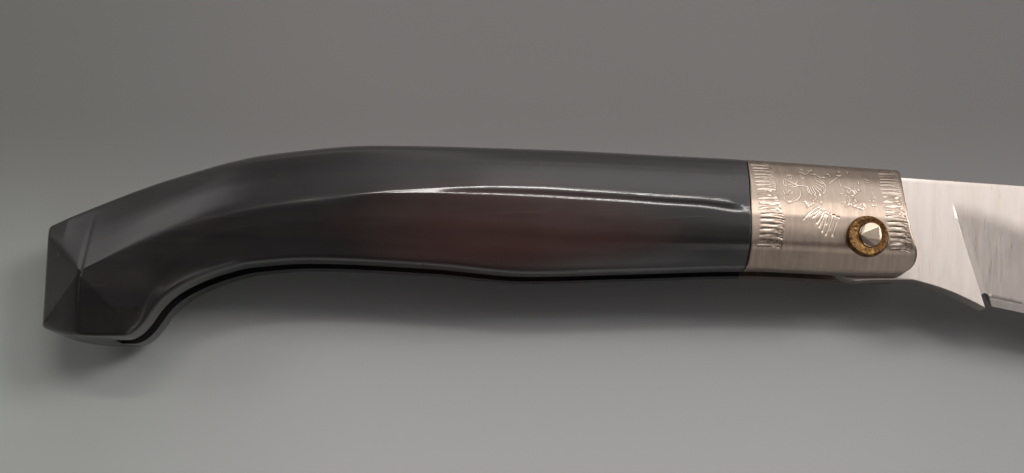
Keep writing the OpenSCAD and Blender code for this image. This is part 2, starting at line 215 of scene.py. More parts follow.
def half_section(x):
    """Corners of half the handle's section at each x, from the spine's middle to the underside's middle, as
    (z, y). The last axis but one holds the corners."""
    # The butt is a point whose facets widen evenly up to the apex, with a rounded end.
    rounding = np.sqrt(1 - (1 - np.clip((x - butt_x) / end_round, 0.0, 1.0)) ** 2)
    t = (x - butt_x) / gem_len
    gem = t - soft_ramp(t - 1, facet_soft)
    side = mix(butt_edge_w / 2, half_t, gem) * rounding
    under = mix(butt_edge_w / 2, belly_half, gem) * rounding

    # The outlines, a hundredth inside the solid's.
    top = soft_curve(top_line, x, 1.2) - inset - end_round * (1 - rounding)
    low = soft_curve(belly_line, x, 0.7) + inset + end_round * (1 - rounding)
    hi_end, lo_end = butt_top - butt_edge_w * 0.6, -sole_depth * 0.84
    high = np.where(t < 1, mix(hi_end, apex_y, t), soft_curve(upper_ridge, np.maximum(x, apex_x), 0.7))
    flat = np.where(t < 1, mix(lo_end, apex_y - crest, t), soft_curve(lower_ridge, np.maximum(x, apex_x), 0.7))

    # Round spine and round foot, both smaller towards the butt.
    size = np.minimum(1.0, 0.85 * side / (spine_round * math.sin(math.radians(45))))
    size = size * mix(0.35, 1.0, step(x, *spine_grows))
    radius = spine_round * size
    bend = np.minimum(belly_round * mix(0.5, 0.72, step(x, *foot_grows)), under * 0.6)
    centre = under - bend

    # The crease under the side: how far down it lies, and how far it stands out.
    past_apex = (x - apex_x) / (gem_len * 0.85)
    full_side = step(x, *side_fills)
    crease_at = mix(np.where(past_apex < 0, 0.5, soft_curve(crease_at_line, past_apex, 0.6)), 0.73, full_side)
    crease_out = mix(np.where(past_apex < 0, 0.0, soft_curve(crease_out_line, past_apex, 0.5)), 0.74, full_side)

    # The groove along the ridge, from its brow to its lip. The metal and the butt have none.
    on_metal = step(x, *metal_starts)
    strip = np.maximum(high - flat, 0.05)
    brow_low, lip_high = 0.46 * strip, 0.2 * strip
    ungrooved = np.maximum(on_metal, 1 - step(x, *groove_starts))
    has_strip = step(x, *strip_starts)
    brow_in = mix(0.1, 0.12, on_metal) * (strip - brow_low) * ungrooved * has_strip
    ridge_in = brow_in + mix(mix(0.103, 0.128, step(x, *groove_deepens)), 0.18, on_metal) * brow_low * has_strip
    lip_in = mix(0.125, 0.1, ungrooved) * lip_high * has_strip

    spine = [at(radius * math.sin(a), top - radius * (1 - math.cos(a))) for a in np.radians([0, 9, 18, 27, 36, 45])]
    ridge = at(side - ridge_in, high)
    brow = at(side - brow_in, high - brow_low)
    bulge = mix(spine[-1], ridge, 0.5) + at(0.35 * size, 0.35 * size) * np.clip(t, 0, 1)[..., None]
    hollow = at(side - lip_in, flat + lip_high)
    flat_edge = at(side, flat)
    heel = at(under, low + bend)
    crease = mix(flat_edge, heel, crease_at[..., None]) + at(crease_out, 0.0)

    # Behind the groove its four corners merge into one rounded ridge.
    merged = ((1 - step(x, *ridge_parts)) * step(x, apex_x - 0.3, apex_x + 2.0))[..., None]
    from_butt = np.clip((x - apex_x) / 10.0, 0.03, 1.0)
    wide = step(x, *ridge_widens)
    peak_point = at(side, (high + flat) / 2)
    upper = towards(peak_point, bulge - peak_point, (mix(2.2, 1.4, wide) * from_butt ** 2)[..., None])
    lower = towards(peak_point, crease - peak_point, (mix(0.8, 1.4, wide) * from_butt)[..., None])
    rounded = [upper * (1 - s) ** 2 + 2 * peak_point * s * (1 - s) + lower * s * s for s in (0.15, 0.4, 0.65, 0.88)]
    ridge, brow, hollow, flat_edge = (mix(a, b, merged) for a, b in zip((ridge, brow, hollow, flat_edge), rounded))

    shoulder = mix(flat_edge, crease, 0.5) + at(0.1 * full_side, 0.0)
    turn = at(centre + bend * math.cos(math.pi / 4), low + bend - bend * math.sin(math.pi / 4))
    foot = at(centre + 0.1, low + 0.1)
    heel = mix(heel, mix(crease, foot, 0.5), full_side[..., None])
    turn = mix(turn, mix(crease, foot, 0.84), full_side[..., None])
    row = spine + [bulge, ridge, brow, hollow, flat_edge, shoulder, crease, heel, turn, at(centre, low), at(0.0, low)]
    return np.stack(row, axis=-2)


round_off = 9.0  # a reach longer than any stretch
corner_reach = np.full(17, round_off)
corner_reach[5:13] = (1.2, 3.0, 0.9, 0.2, 0.15, 0.15, round_off, 1.1)
ridge_corner, brow_corner, hollow_corner, flat_corner, crease_corner = 7, 8, 9, 10, 12
groove_corners = [ridge_corner, brow_corner, hollow_corner, flat_corner]
corner_count = len(corner_reach)


def soften(corners, reach, arc, straight):
    """Softens the corners of each row. A corner P between stretches becomes start*(1-t)^2 + 2*P*t*(1-t) + end*t^2,
    where start and end lie up to reach from P. Corners have the shape (rows, corners, 3); arc lists the number of
    points round each inner corner, straight the number inside each stretch."""
    stretch = np.diff(corners, axis=1)
    length = np.linalg.norm(stretch, axis=2, keepdims=True)
    unit = stretch / np.maximum(length, 1e-9)
    reach = np.broadcast_to(reach, corners.shape[:2])[..., None]
    before = np.minimum(reach[:, 1:-1], 0.46 * length[:, :-1])
    after = np.minimum(reach[:, 1:-1], 0.46 * length[:, 1:])
    start = np.concatenate([corners[:, 1:-1] - unit[:, :-1] * before, corners[:, -1:]], axis=1)
    end = np.concatenate([corners[:, :1], corners[:, 1:-1] + unit[:, 1:] * after], axis=1)
    row = [corners[:, 0]]
    for k, inside in enumerate(straight):
        row += [mix(end[:, k], start[:, k], t) for t in np.arange(1, inside + 1) / (inside + 1)]
        if k < len(straight) - 1:
            row += [start[:, k] * (1 - t) ** 2 + 2 * corners[:, k + 1] * t * (1 - t) + end[:, k + 1] * t * t
                    for t in np.linspace(0, 1, arc[k])]
    return np.stack(row + [corners[:, -1]], axis=1)


# %% [markdown]
# ## Sections on a leaning line
#
# The joint between horn and metal leans, and so does the collar's front edge. A section there isn't flat: each
# corner's x depends on its own height. Going round that dependence a few times settles it.


# %% Leaning sections, moved inwards where they lie under the metal
def settled(place, count):
    """Corners (x, y, z) whose x is place(y), found by going round four times."""
    x = np.broadcast_to(place(np.zeros((count, corner_count))), (count, corner_count))
    k = np.arange(corner_count)
    for _ in range(4):
        zy = half_section(x)[:, k, k]
        x = place(zy[..., 1])
    return np.stack([x, zy[..., 1], zy[..., 0]], axis=-1)


def moved_in(corners, wall):
    """The corners moved inwards by wall, square to the chord between their neighbours."""
    index = np.arange(corner_count)
    run = (corners[:, np.minimum(index + 1, corner_count - 1)] - corners[:, np.maximum(index - 1, 0)])[..., 1:]
    run[:, 0] = (0, 1)
    run[:, -1] = (0, -1)
    normal = np.stack([run[..., 1], -run[..., 0]], axis=-1) / np.linalg.norm(run, axis=2, keepdims=True)
    result = corners.copy()
    result[..., 1:] -= normal * np.asarray(wall)[..., None]
    return result


joint_low = -collar_rear - collar_lean / 2
joint_edge = [(-7.0, -17.35), (-4.8, -16.97), (-3.4, -16.72), (-1.6, -16.45), (0.5, -16.32), (5.0, -16.28),
              (8.0, -16.1), (11.5, -15.87), (14.0, -15.7)]
front_edge = [(-5.6, 4.4), (-4.9, 5.5), (-4.3, 6.4), (-3.4, 6.77), (-2.4, 6.75), (-0.8, 6.38), (0.8, 5.95), (3.0, 5.6),
              (6.0, 5.45), (8.5, 5.7), (10.2, 6.05), (13.0, 6.45)]


def joint_x(y):
    return curve(joint_edge, y)


def front_x(y):
    return curve(front_edge, y)


# %% [markdown]
# ## From grid to mesh
#
# Every surface here is a grid of points. One helper hands it to Blender with foreach_set, which takes whole arrays.
# Points that meet, at a pole or where a ring collapses to a line, are merged, and the signed volume of the closed
# surface tells whether its faces look outwards.


# %% Grid helpers
def mirrored_rings(half):
    """A closed ring from each half row: the half, and its mirror image in the plane z = 0 on the way back."""
    return np.concatenate([half, half[:, -2:0:-1] * (1, 1, -1)], axis=1)


def grid_faces(rows, columns, wrap_rows, wrap_columns):
    r = np.arange(rows if wrap_rows else rows - 1)[:, None]
    c = np.arange(columns if wrap_columns else columns - 1)[None, :]
    r2, c2 = (r + 1) % rows, (c + 1) % columns
    corners = [r * columns + c, r2 * columns + c, r2 * columns + c2, r * columns + c2]
    return np.stack([np.broadcast_to(i, (len(r), c.shape[1])) for i in corners], axis=-1).reshape(-1, 4)


def signed_volume(points, quads):
    a, b, c, d = (points[quads[:, i]] for i in range(4))
    return (np.einsum("ij,ij->i", a, np.cross(b, c)) + np.einsum("ij,ij->i", a, np.cross(c, d))).sum() / 6


def make_piece(name, points_mm, quads, sharp_deg, loops=(), values=None):
    """A mesh object from points in millimetres from the pivot. loops are extra faces of many points, values a
    dictionary of one number per point, kept as an attribute."""
    points = np.asarray(points_mm, float).reshape(-1, 3)
    if signed_volume(points, quads) < 0:
        quads = quads[:, ::-1]
    mesh = bpy.data.meshes.new(name)
    place = points * MM + pivot
    mesh.vertices.add(len(place))
    mesh.vertices.foreach_set("co", place.ravel())
    sizes = [4] * len(quads) + [len(loop) for loop in loops]
    starts = np.concatenate([[0], np.cumsum(sizes)[:-1]])
    corners = np.concatenate([quads.ravel()] + [np.asarray(loop) for loop in loops])
    mesh.loops.add(len(corners))
    mesh.loops.foreach_set("vertex_index", corners.astype(np.int32))
    mesh.polygons.add(len(sizes))
    mesh.polygons.foreach_set("loop_start", starts.astype(np.int32))
    mesh.update(calc_edges=True)
    for key, numbers in (values or {}).items():
        layer = mesh.attributes.new(key, "FLOAT", "POINT")
        layer.data.foreach_set("value", np.asarray(numbers, np.float32).ravel())
    bm = bmesh.new()
    bm.from_mesh(mesh)
    bmesh.ops.remove_doubles(bm, verts=bm.verts, dist=2e-7)
    bmesh.ops.dissolve_degenerate(bm, dist=1e-7, edges=bm.edges)
    bmesh.ops.recalc_face_normals(bm, faces=bm.faces)
    open_edges = sum(1 for e in bm.edges if not e.is_manifold)
    bm.to_mesh(mesh)
    bm.free()
    mesh.set_sharp_from_angle(angle=math.radians(sharp_deg))
    piece = bpy.data.objects.new(name, mesh)
    bpy.context.collection.objects.link(piece)
    triangles = sum(len(p.vertices) - 2 for p in mesh.polygons)
    print(name, triangles, "triangles,", open_edges, "open edges")
    return piece


# %% [markdown]
# ## The horn
#
# The handle is one solid of horn. Rings of its section run from the blunt edge of the butt, where a ring collapses
# to a line and closes the end, to the leaning joint, step inwards there, and go on under the metal to the front.
# The slot for the blade is cut afterwards with a Boolean, as a saw cuts it, because its outline has nothing to do
# with the handle's sections.

# %% Rings of the horn
horn_straight = [0, 0, 0, 0, 0, 3, 4, 1, 1, 1, 1, 1, 1, 0, 1, 4]
horn_arc = [3, 3, 3, 3, 5, 10, 7, 5, 5, 5, 6, 6, 4, 3, 3]
crease_softens, groove_crisp, crease_tightens, lean_starts = (-104.0, -94.0), (-76.0, -66.0), (-40.0, -20.0), -42.0


def horn_rings():
    """Rings of the horn: stations close together at the butt, then even, leaning more and more up to the joint."""
    turn = np.linspace(0, np.pi / 2, 8)
    end = butt_x + end_round * (1 - np.cos(turn))
    body = np.linspace(butt_x + end_round, joint_low, 400)[1:-1]
    stations = np.concatenate([end, body])[:, None]
    leaning = step(stations, lean_starts, joint_low)
    outer = settled(lambda y: stations + leaning * (joint_x(y) - joint_low), len(stations))
    rim_back, rim_in = np.array([[0.16, 0.11, 0.08, 0.07]]).T, np.array([[0.0, 0.02, 0.07, 0.2]]).T
    rim = moved_in(settled(lambda y: joint_x(y) - rim_back, 4), rim_in)
    share = np.linspace(0, 1, 12)[:, None]
    inner = settled(lambda y: mix(joint_x(y) - glue, front_x(y) - 0.05, share), len(share))
    inner = moved_in(inner, sheet + glue)
    closing = inner[-1:] * (1, 1, 0)
    corners = np.concatenate([outer, rim, inner, closing])
    crisp = np.tile(corner_reach, (len(corners), 1))
    x = corners[:, ridge_corner, 0]
    split = np.maximum(step(x, *groove_crisp), 1 - step(x, apex_x - 0.5, apex_x + 1.5))
    crisp[:, groove_corners] = mix(round_off, corner_reach[groove_corners], split[:, None])
    crisp[:, crease_corner] = mix(0.4, 3.0, step(x, *crease_softens)) - 1.9 * step(x, *crease_tightens)
    return mirrored_rings(soften(corners, crisp, horn_arc, horn_straight))


rings = horn_rings()
horn = make_piece("horn_handle", rings, grid_faces(*rings.shape[:2], False, True), 28)

# %% [markdown]
# ## The saw's cut
#
# The slot's floor is the blade's own edge, folded back by 175 degrees and lifted a little, so the closed blade sits
# in it without touching. A prism on that outline is the cutter; a rod is the drill for the rivet.

# %% Folded edge, slot and bore
fold = math.radians(175)
notch_r, floor_gap = 0.55, 0.8
choil_x = kick_x + 2.5 * notch_r
tip_y = spine_h * 0.12
edge_line = [(mix(choil_x, blade_len, t), y) for t, y in [
    (0.0, -choil_depth), (0.19, -mix(choil_depth, belly_depth, 0.56)), (0.36, -mix(choil_depth, belly_depth, 0.92)),
    (0.48, -belly_depth), (0.66, -belly_depth * 0.9), (0.83, -belly_depth * 0.6), (0.94, -belly_depth * 0.25),
    (1.0, tip_y - 0.6)]]


def folded(x, y):
    return np.stack([x * math.cos(fold) + y * math.sin(fold), -x * math.sin(fold) + y * math.cos(fold)], axis=-1)


def slot_outline():
    share = np.linspace(0, 1, 60)
    edge_x = mix(choil_x, blade_len, share)
    floor = folded(edge_x, curve(edge_line, edge_x))
    floor += np.stack([-floor_gap * share ** 4, floor_gap + 0 * share], axis=-1)
    kick = folded(kick_x, -kick_depth)
    ledge, under, pocket = kick[1] + stop_gap, -belly_depth - past, -(tang_r + 1.5)
    head = [(front_limit, under), (front_limit, 20.0), (pocket, 20.0), (pocket, ledge),
            (kick[0] - 2 * notch_r, ledge)]
    return np.concatenate([head, floor[3:], [(floor[-1, 0], under)]])


def prism(name, outline, half_z):
    """A straight prism on an outline (x, y), from -half_z to half_z, as an object in the frame's metres."""
    count = len(outline)
    points = np.concatenate([np.column_stack([outline, np.full(count, z)]) for z in (-half_z, half_z)])
    mesh = bpy.data.meshes.new(name)
    ring = [(i, (i + 1) % count, (i + 1) % count + count, i + count) for i in range(count)]
    caps = [tuple(range(count))[::-1], tuple(range(count, 2 * count))]
    mesh.from_pydata((points * MM + pivot).tolist(), [], ring + caps)
    cutter = bpy.data.objects.new(name, mesh)
    bm = bmesh.new()
    bm.from_mesh(mesh)
    bmesh.ops.recalc_face_normals(bm, faces=bm.faces)
    bm.to_mesh(mesh)
    bm.free()
    bpy.context.collection.objects.link(cutter)
    return cutter


def cut(piece, cutter, sharp_deg):
    """Takes the cutter away from the piece for good, and removes the cutter."""
    modifier = piece.modifiers.new("cut", "BOOLEAN")
    modifier.operation = "DIFFERENCE"
    modifier.solver = "EXACT"
    modifier.object = cutter
    result = bpy.data.meshes.new_from_object(piece.evaluated_get(bpy.context.evaluated_depsgraph_get()))
    piece.modifiers.clear()
    before, piece.data = piece.data, result
    result.name = before.name
    bpy.data.meshes.remove(before)
    bpy.data.objects.remove(cutter)
    result.set_sharp_from_angle(angle=math.radians(sharp_deg))
    print(piece.name, "cut,", len(result.polygons), "faces")


def circle(radius, count):
    a = np.linspace(0, 2 * np.pi, count, endpoint=False)
    return radius * np.column_stack([np.cos(a), np.sin(a)])


cut(horn, prism("slot_cutter", slot_outline(), slot_half), 28)
cut(horn, prism("bore_cutter", circle(pin_r + 0.02, 64), 10.0), 28)

# %% [markdown]
# ## The collar
#
# A sheet of nickel silver is folded over the spine and down both sides, to the slot's edges. It is the handle's
# section again, running between the leaning joint and the curved front edge, with its thickness turned inwards. The
# outside carries the engraving, so its grid is fine; the inside needs only a few rows.

# %% Surface of the collar
collar_straight = [1, 1, 1, 1, 1, 5, 14, 0, 0, 0, 6, 4, 4, 0, 1, 5]
collar_arc = [3, 3, 3, 3, 14, 30, 9, 6, 5, 7, 14, 14, 9, 4, 3]
collar_rows = 236
rear_rim, front_rim = 0.18, 0.34
engraving_line = [(-30.9, 5.6), (-17.5, 5.1), (front_limit, 4.5)]


def column_of(corner, arc, straight):
    """The grid column at the middle of a corner's arc: the points of the stretches and arcs before it."""
    return 1 + sum(straight[:corner]) + sum(arc[:corner - 1]) + arc[corner - 1] // 2


def collar_half(share, wall):
    rows = settled(lambda y: mix(joint_x(y), front_x(y), share), len(share))
    rows = moved_in(rows, wall)
    rows[:, -1, 2] = slot_half
    crisp = corner_reach.copy()
    crisp[groove_corners] = (1.2, round_off, round_off, 0.4)
    return soften(rows, crisp, collar_arc, collar_straight)


def up_from_ridge(half):
    """For each point its way up along its row from the engraving line, in millimetres: the sum of the steps up from
    the ridge, plus the ridge's height over that line."""
    steps = np.linalg.norm(np.diff(half[..., 1:], axis=1), axis=2)
    run = np.concatenate([np.zeros((len(half), 1)), np.cumsum(steps, axis=1)], axis=1)
    k = column_of(ridge_corner, collar_arc, collar_straight)
    return run[:, k][:, None] - run + half[:, k, 1][:, None] - curve(engraving_line, half[:, k, 0])[:, None]


# %% [markdown]
# ## Engraving
#
# The graver's work is a scroll of leaves, a shell, a fan and small curls between two bands of zigzag strokes. A stroke
# is a V-shaped furrow that starts as a hair line, swells, and ends bluntly where the tool was lifted. Each one is a
# parabola through three places on the unrolled side of the collar, given as x and w, where w is the way up from the
# ridge, in millimetres. Cutting them into the mesh, not into a bump, lets each furrow catch the light from any side.

# %% Strokes of the graver
scroll_strokes = np.array([  # x and w of start, middle and end, then a width class
    (-10.81, 4.37, -10.34, 4.91, -10, 4.49, 2), (-10, 4.49, -10.17, 4.08, -10.58, 3.95, 1),
    (-11.05, 3.96, -10.19, 3.25, -9.24, 2.68, 3), (-11.18, 3.69, -11.36, 2.99, -10.95, 2.57, 2),
    (-10.71, 2.42, -10.13, 2.41, -9.35, 2.68, 2), (-9.24, 2.68, -8.59, 2.67, -7.98, 2.52, 2),
    (-10.76, 2.84, -10.39, 2.84, -10, 2.69, 1), (-11.47, 1.76, -11.39, 1.21, -10.85, 1.09, 2),
    (-10.85, 1.09, -10.44, 1.21, -10.28, 1.57, 1), (-10.28, 1.57, -10.56, 1.81, -10.83, 1.51, 1),
    (-9.08, 1.62, -9.39, 0.6, -10.03, 0.04, 2), (-10.03, 0.04, -10.57, -0.2, -11.08, -0.2, 2),
    (-11.08, -0.2, -11.44, 0.08, -11.53, 0.54, 1), (-10.11, 0.54, -10.5, 0.08, -10.97, 0.04, 1),
    (-9.26, 4.2, -9.37, 3.52, -9.7, 2.97, 1), (-8.58, 6.52, -8.44, 6.43, -8.26, 6.34, 3),
    (-8.72, 5.67, -8.36, 5.57, -8.1, 5.12, 2), (-7.98, 5.25, -7.64, 5.46, -7.4, 6.12, 2),
    (-7.5, 6.31, -7.26, 6.02, -6.91, 6.37, 2), (-7.44, 5.26, -7, 5.22, -6.59, 5.4, 1),
    (-8.75, 4.73, -8.64, 4.18, -8.27, 4.31, 2), (-6.55, 5.37, -6.23, 4.93, -5.87, 4.38, 3),
    (-6.35, 4.26, -5.78, 3.58, -5.4, 2.76, 3), (-6.74, 3.87, -6.29, 3.59, -5.88, 3.17, 3),
    (-6.88, 3.33, -6.29, 2.91, -5.81, 2.49, 2), (-6.98, 2.92, -6.58, 2.36, -6.09, 1.88, 2),
    (-7.18, 2.65, -6.85, 2.09, -6.47, 1.54, 2), (-7.4, 2.65, -7.18, 1.9, -6.92, 1.31, 2),
    (-7.66, 2.52, -7.51, 1.78, -7.18, 1.19, 2), (-7.95, 2.52, -7.84, 1.78, -7.65, 1.19, 2),
    (-7.98, 2.52, -8.12, 1.91, -7.86, 1.25, 1), (-5.4, 2.76, -5.74, 1.65, -6.53, 1.13, 1),
    (-6.53, 1.13, -6.97, 0.95, -7.37, 1.01, 1), (-6.09, 1.12, -6.61, 0.83, -6.98, 0.78, 1),
    (-5.64, 4.51, -5.49, 4.64, -5.35, 4.5, 3), (-4.96, 5.21, -4.65, 5.52, -4.59, 4.88, 2),
    (-6.98, 0.78, -7.22, 0.28, -7.59, 0, 1), (-7.53, 0.78, -7.83, 0.48, -8.13, 0.28, 1),
    (-8.94, -0.08, -8.65, -0.16, -8.46, -0.51, 2), (-7.52, -0.32, -7.95, -0.63, -8.39, -0.88, 2),
    (-7.01, 0, -6.68, -0.04, -6.39, -0.28, 2), (-6.93, -0.97, -7.79, -1.52, -8.6, -2.3, 2),
    (-8.6, -2.3, -8.85, -2.53, -9.02, -2.79, 1), (-6.81, -1.36, -7.49, -1.82, -8.24, -2.17, 2),
    (-6.55, -1.49, -7.08, -1.99, -7.72, -2.41, 2), (-6.21, -1.75, -6.65, -2.49, -7.21, -3.27, 2),
    (-5.98, -1.97, -6.46, -2.95, -6.88, -3.81, 2), (-5.68, -2.07, -6.03, -3.23, -6.49, -4.42, 3),
    (-4.97, -2.28, -5.41, -3.5, -6, -4.85, 3), (-5.34, -2.24, -5.62, -2.9, -5.86, -3.43, 1),
    (-4.6, -2.35, -5.05, -3.37, -5.35, -4.17, 1), (-4.24, -2.61, -4.65, -3.71, -5.08, -5, 3),
    (-7.07, -1.02, -6.89, -0.89, -6.74, -1.02, 2), (-6.63, -1.15, -6.48, -1.19, -6.3, -1.28, 2),
    (-6.22, -1.45, -5.92, -1.58, -5.59, -1.73, 2), (-5.4, -1.87, -5.29, -1.87, -5.18, -1.94, 2),
    (-5.16, -2.21, -4.91, -2.11, -4.65, -2.18, 2), (-4.48, -2.41, -4.27, -2.32, -4.11, -2.45, 2),
    (-3.23, 6.22, -3.08, 6.29, -2.95, 6.12, 3), (-3.61, 5.27, -3.29, 5.21, -2.96, 5.25, 3),
    (-3.21, 4.97, -3.37, 3.92, -3.3, 2.72, 1), (-3.37, 4.71, -4.08, 4.07, -4.59, 3.55, 1),
    (-4.59, 3.55, -4.79, 3.28, -4.65, 3.15, 1), (-1.87, 6.4, -1.77, 6.24, -1.88, 5.89, 3),
    (-2.9, 2.71, -2.48, 2.57, -1.98, 2.29, 3), (-1.98, 2.29, -1.6, 2.02, -1.4, 1.43, 1),
    (-1.5, 2.55, -1.31, 2.02, -1.11, 1.6, 2), (-1.05, 2.15, -0.9, 2.28, -0.8, 2.01, 3),
    (-0.86, 3.98, -0.63, 3.72, -0.73, 3.33, 2), (0.24, 4.6, 0.52, 4.46, 0.78, 4.2, 2),
    (0.22, 3.96, 0.43, 3.82, 0.74, 3.68, 1), (0.88, 3.03, 1, 2.64, 1.17, 2.38, 1),
    (-2.89, 2.17, -2.54, 2.03, -2.45, 1.5, 1), (-2.23, 1.5, -1.92, 2.02, -1.61, 1.66, 2),
    (-1.61, 1.66, -1.66, 1.21, -2.03, 1.05, 1), (-3.72, 1.51, -3.01, 1.22, -2.48, 0.77, 1),
    (-2.48, 0.77, -2.35, 0.4, -2.43, 0.04, 1), (-3.59, -0.28, -3.27, 0.04, -2.97, -0.24, 2),
    (-2.83, 0.24, -2.5, -0.2, -2.74, -0.6, 2), (-2.74, -0.6, -2.99, -0.77, -3.14, -0.69, 1),
    (-2.13, 0.36, -1.77, 0.44, -1.48, 0.04, 3), (-1.88, 0.04, -1.81, -0.04, -1.88, -0.2, 2),
    (-2.31, -0.44, -1.57, -0.78, -0.65, -1.05, 3), (-1.14, -0.55, -0.68, -0.32, -0.41, -0.65, 2),
    (-0.41, -0.65, -0.36, -0.92, -0.65, -1.05, 1), (0.3, 0.24, 0.74, 0.4, 0.99, 0.12, 2),
    (0.99, 0.12, 1.22, -0.36, 0.97, -0.61, 1), (0.89, 1.58, 1.13, 1.14, 1.22, 0.76, 1),
    (0.52, -0.36, 0.71, -0.5, 0.93, -0.53, 1),
])
rear_band = ([(-7.2, -15.5), (-4.9, -15.1), (-2.4, -14.95), (1.5, -15.25), (4.6, -15.25), (7.4, -15.6), (11, -15.7)],
             [(-7.2, -12.35), (-5.0, -11.96), (-2.7, -11.8), (0.7, -12.3), (2.4, -12.45), (5.0, -12.45), (7.9, -12.7),
              (11, -12.8)])
front_band = ([(-7.2, 3.1), (-4.9, 2.92), (-3.3, 2.71), (-1.2, 2.43), (0.6, 2.24), (3.0, 2.36), (7.3, 2.78), (11, 3.0)],
              [(-7.2, 5.85), (-4.9, 5.62), (-3.3, 5.34), (-1.2, 5.13), (0.7, 4.96), (3.3, 5.16), (6.8, 5.4), (11, 5.5)])
band_pitch = 0.76
half_widths = {0: 0.125, 1: 0.115, 2: 0.16, 3: 0.19}
depth_of_width = 0.36


def band_strokes(borders, low, high, seed):
    """Strokes between two borders x(w). One runs from the right border to a blunt end on the left one, the next
    from there to a blunt end on the right, a third of a pitch lower. Small seeded shifts keep them a hand's work."""
    left, right = borders
    w = np.arange(low, high, band_pitch)
    shifts = np.random.default_rng(seed).normal(0, 1, (len(w), 6))
    w = w + 0.04 * shifts[:, 0]
    x_left = curve(left, w) + 0.06 * shifts[:, 1]
    x_right = curve(right, w) + 0.06 * shifts[:, 2]
    middle = (x_left + x_right) / 2
    falling = 0.1 + 0.05 * shifts[:, 3]
    upper = [x_right, w - falling, middle, w + 0.1 + 0.04 * shifts[:, 4], x_left, w]
    lower = [x_left + 0.1, w - 0.05, middle + 0.3, w - 0.16, x_right - 0.1, w - falling - 0.36 + 0.05 * shifts[:, 5]]
    return np.stack(upper + [0 * w + 2], axis=1), np.stack(lower + [0 * w], axis=1)


def furrow(x, w, stroke):
    """How deep a stroke cuts at each place, from 0 beside it to 1 at its bottom: 1 - distance / half width. The
    stroke is start*(1-t)*(1-2t) + 4*middle*t*(1-t) + end*t*(2t-1), and its half width grows with t."""
    start, middle, end = stroke[:6].reshape(3, 2)
    widest = half_widths[int(stroke[6])]
    t = np.linspace(0, 1, 11)[:, None]
    line = start * (1 - t) * (1 - 2 * t) + 4 * middle * t * (1 - t) + end * t * (2 * t - 1)
    half = widest * (0.55 + 0.45 * t[:, 0])
    near = ((x > line[:, 0].min() - widest) & (x < line[:, 0].max() + widest)
            & (w > line[:, 1].min() - widest) & (w < line[:, 1].max() + widest))
    place = np.column_stack([x[near], w[near]])[:, None]
    run = line[1:] - line[:-1]
    share = np.clip(((place - line[:-1]) * run).sum(axis=2) / (run * run).sum(axis=1), 0, 1)
    off = np.linalg.norm(place - line[:-1] - share[..., None] * run, axis=2)
    depth = np.zeros(x.shape)
    depth[near] = np.clip(1 - off / mix(half[:-1], half[1:], share), 0, 1).max(axis=1)
    return depth


def engraved(half):
    """The deepest furrow at each point of the half collar, and that depth in millimetres."""
    w = up_from_ridge(half)
    strokes = np.concatenate([scroll_strokes, *band_strokes(rear_band, -6.6, 10.9, 3),
                              *band_strokes(front_band, -6.7, 10.9, 5)])
    cut_share, deep = np.zeros(w.shape), np.zeros(w.shape)
    for stroke in strokes:
        share = furrow(half[..., 0], w, stroke)
        cut_share = np.maximum(cut_share, share)
        deep = np.maximum(deep, share * half_widths[int(stroke[6])] * depth_of_width)
    print(len(strokes), "strokes, deepest", round(deep.max(), 3), "mm")
    return cut_share, deep


def outward(half):
    """Unit normals of the grid, from the cross product of its two directions."""
    normal = np.cross(np.gradient(half, axis=1), np.gradient(half, axis=0))
    normal /= np.maximum(np.linalg.norm(normal, axis=2, keepdims=True), 1e-9)
    return normal * np.sign(normal[len(half) // 2, half.shape[1] // 2, 2])


# %% [markdown]
# ## The strip of metal
#
# The outside's grid runs from the joint to the front edge and loses each furrow's depth along its own normals. The
# inside comes back to the joint, so the strip closes round the metal's thickness.


# %% The collar's strip
def collar_strip():
    """Both halves of the strip, from slot edge to slot edge, outside first and then back along the inside."""
    even = np.linspace(0, 1, collar_rows)
    share = np.concatenate([[0, 0.0012, 0.003], even[1:-1], [0.997, 0.9988, 1]])[:, None]
    length = front_limit - past + collar_rear
    rounding = sum(rim * (1 - np.sqrt(1 - (1 - np.clip(off * length / rim, 0, 1)) ** 2))
                   for rim, off in [(rear_rim, share), (front_rim, 1 - share)])
    outside = collar_half(share, rounding)
    cut_share, deep = engraved(outside)
    outside = outside - outward(outside) * deep[..., None]
    back = np.linspace(1, 0, 6)[:, None]
    inside = collar_half(back, np.full((6, 1), sheet))
    half = np.concatenate([outside, inside])
    cut_share = np.concatenate([cut_share, np.zeros(inside.shape[:2])])
    strip = np.concatenate([half[:, ::-1], half[:, 1:] * (1, 1, -1)], axis=1)
    return strip, np.concatenate([cut_share[:, ::-1], cut_share[:, 1:]], axis=1)


strip, furrows = collar_strip()
rows, columns = strip.shape[:2]
index = np.arange(rows * columns).reshape(rows, columns)
collar = make_piece("collar_sheet", strip, grid_faces(rows, columns, True, False), 60,
                    loops=[index[:, 0], index[::-1, -1]], values={"cut": furrows})

# %% [markdown]
# ## The blade
#
# The blade is flat at its root and ground thinner from a crisp slanting line onwards. Its upper outline and its
# lower outline are two paths, and straight rulings join them, so a point has one number along the blade and one
# across. The thickness is a function of both.


# %% Outlines of the blade
def path(points, count):
    """count points spread evenly along a broken line."""
    points = np.array(points, float)
    run = np.concatenate([[0], np.cumsum(np.linalg.norm(np.diff(points, axis=0), axis=1))])
    place = np.linspace(0, run[-1], count)
    return np.column_stack([np.interp(place, run, points[:, 0]), np.interp(place, run, points[:, 1])])


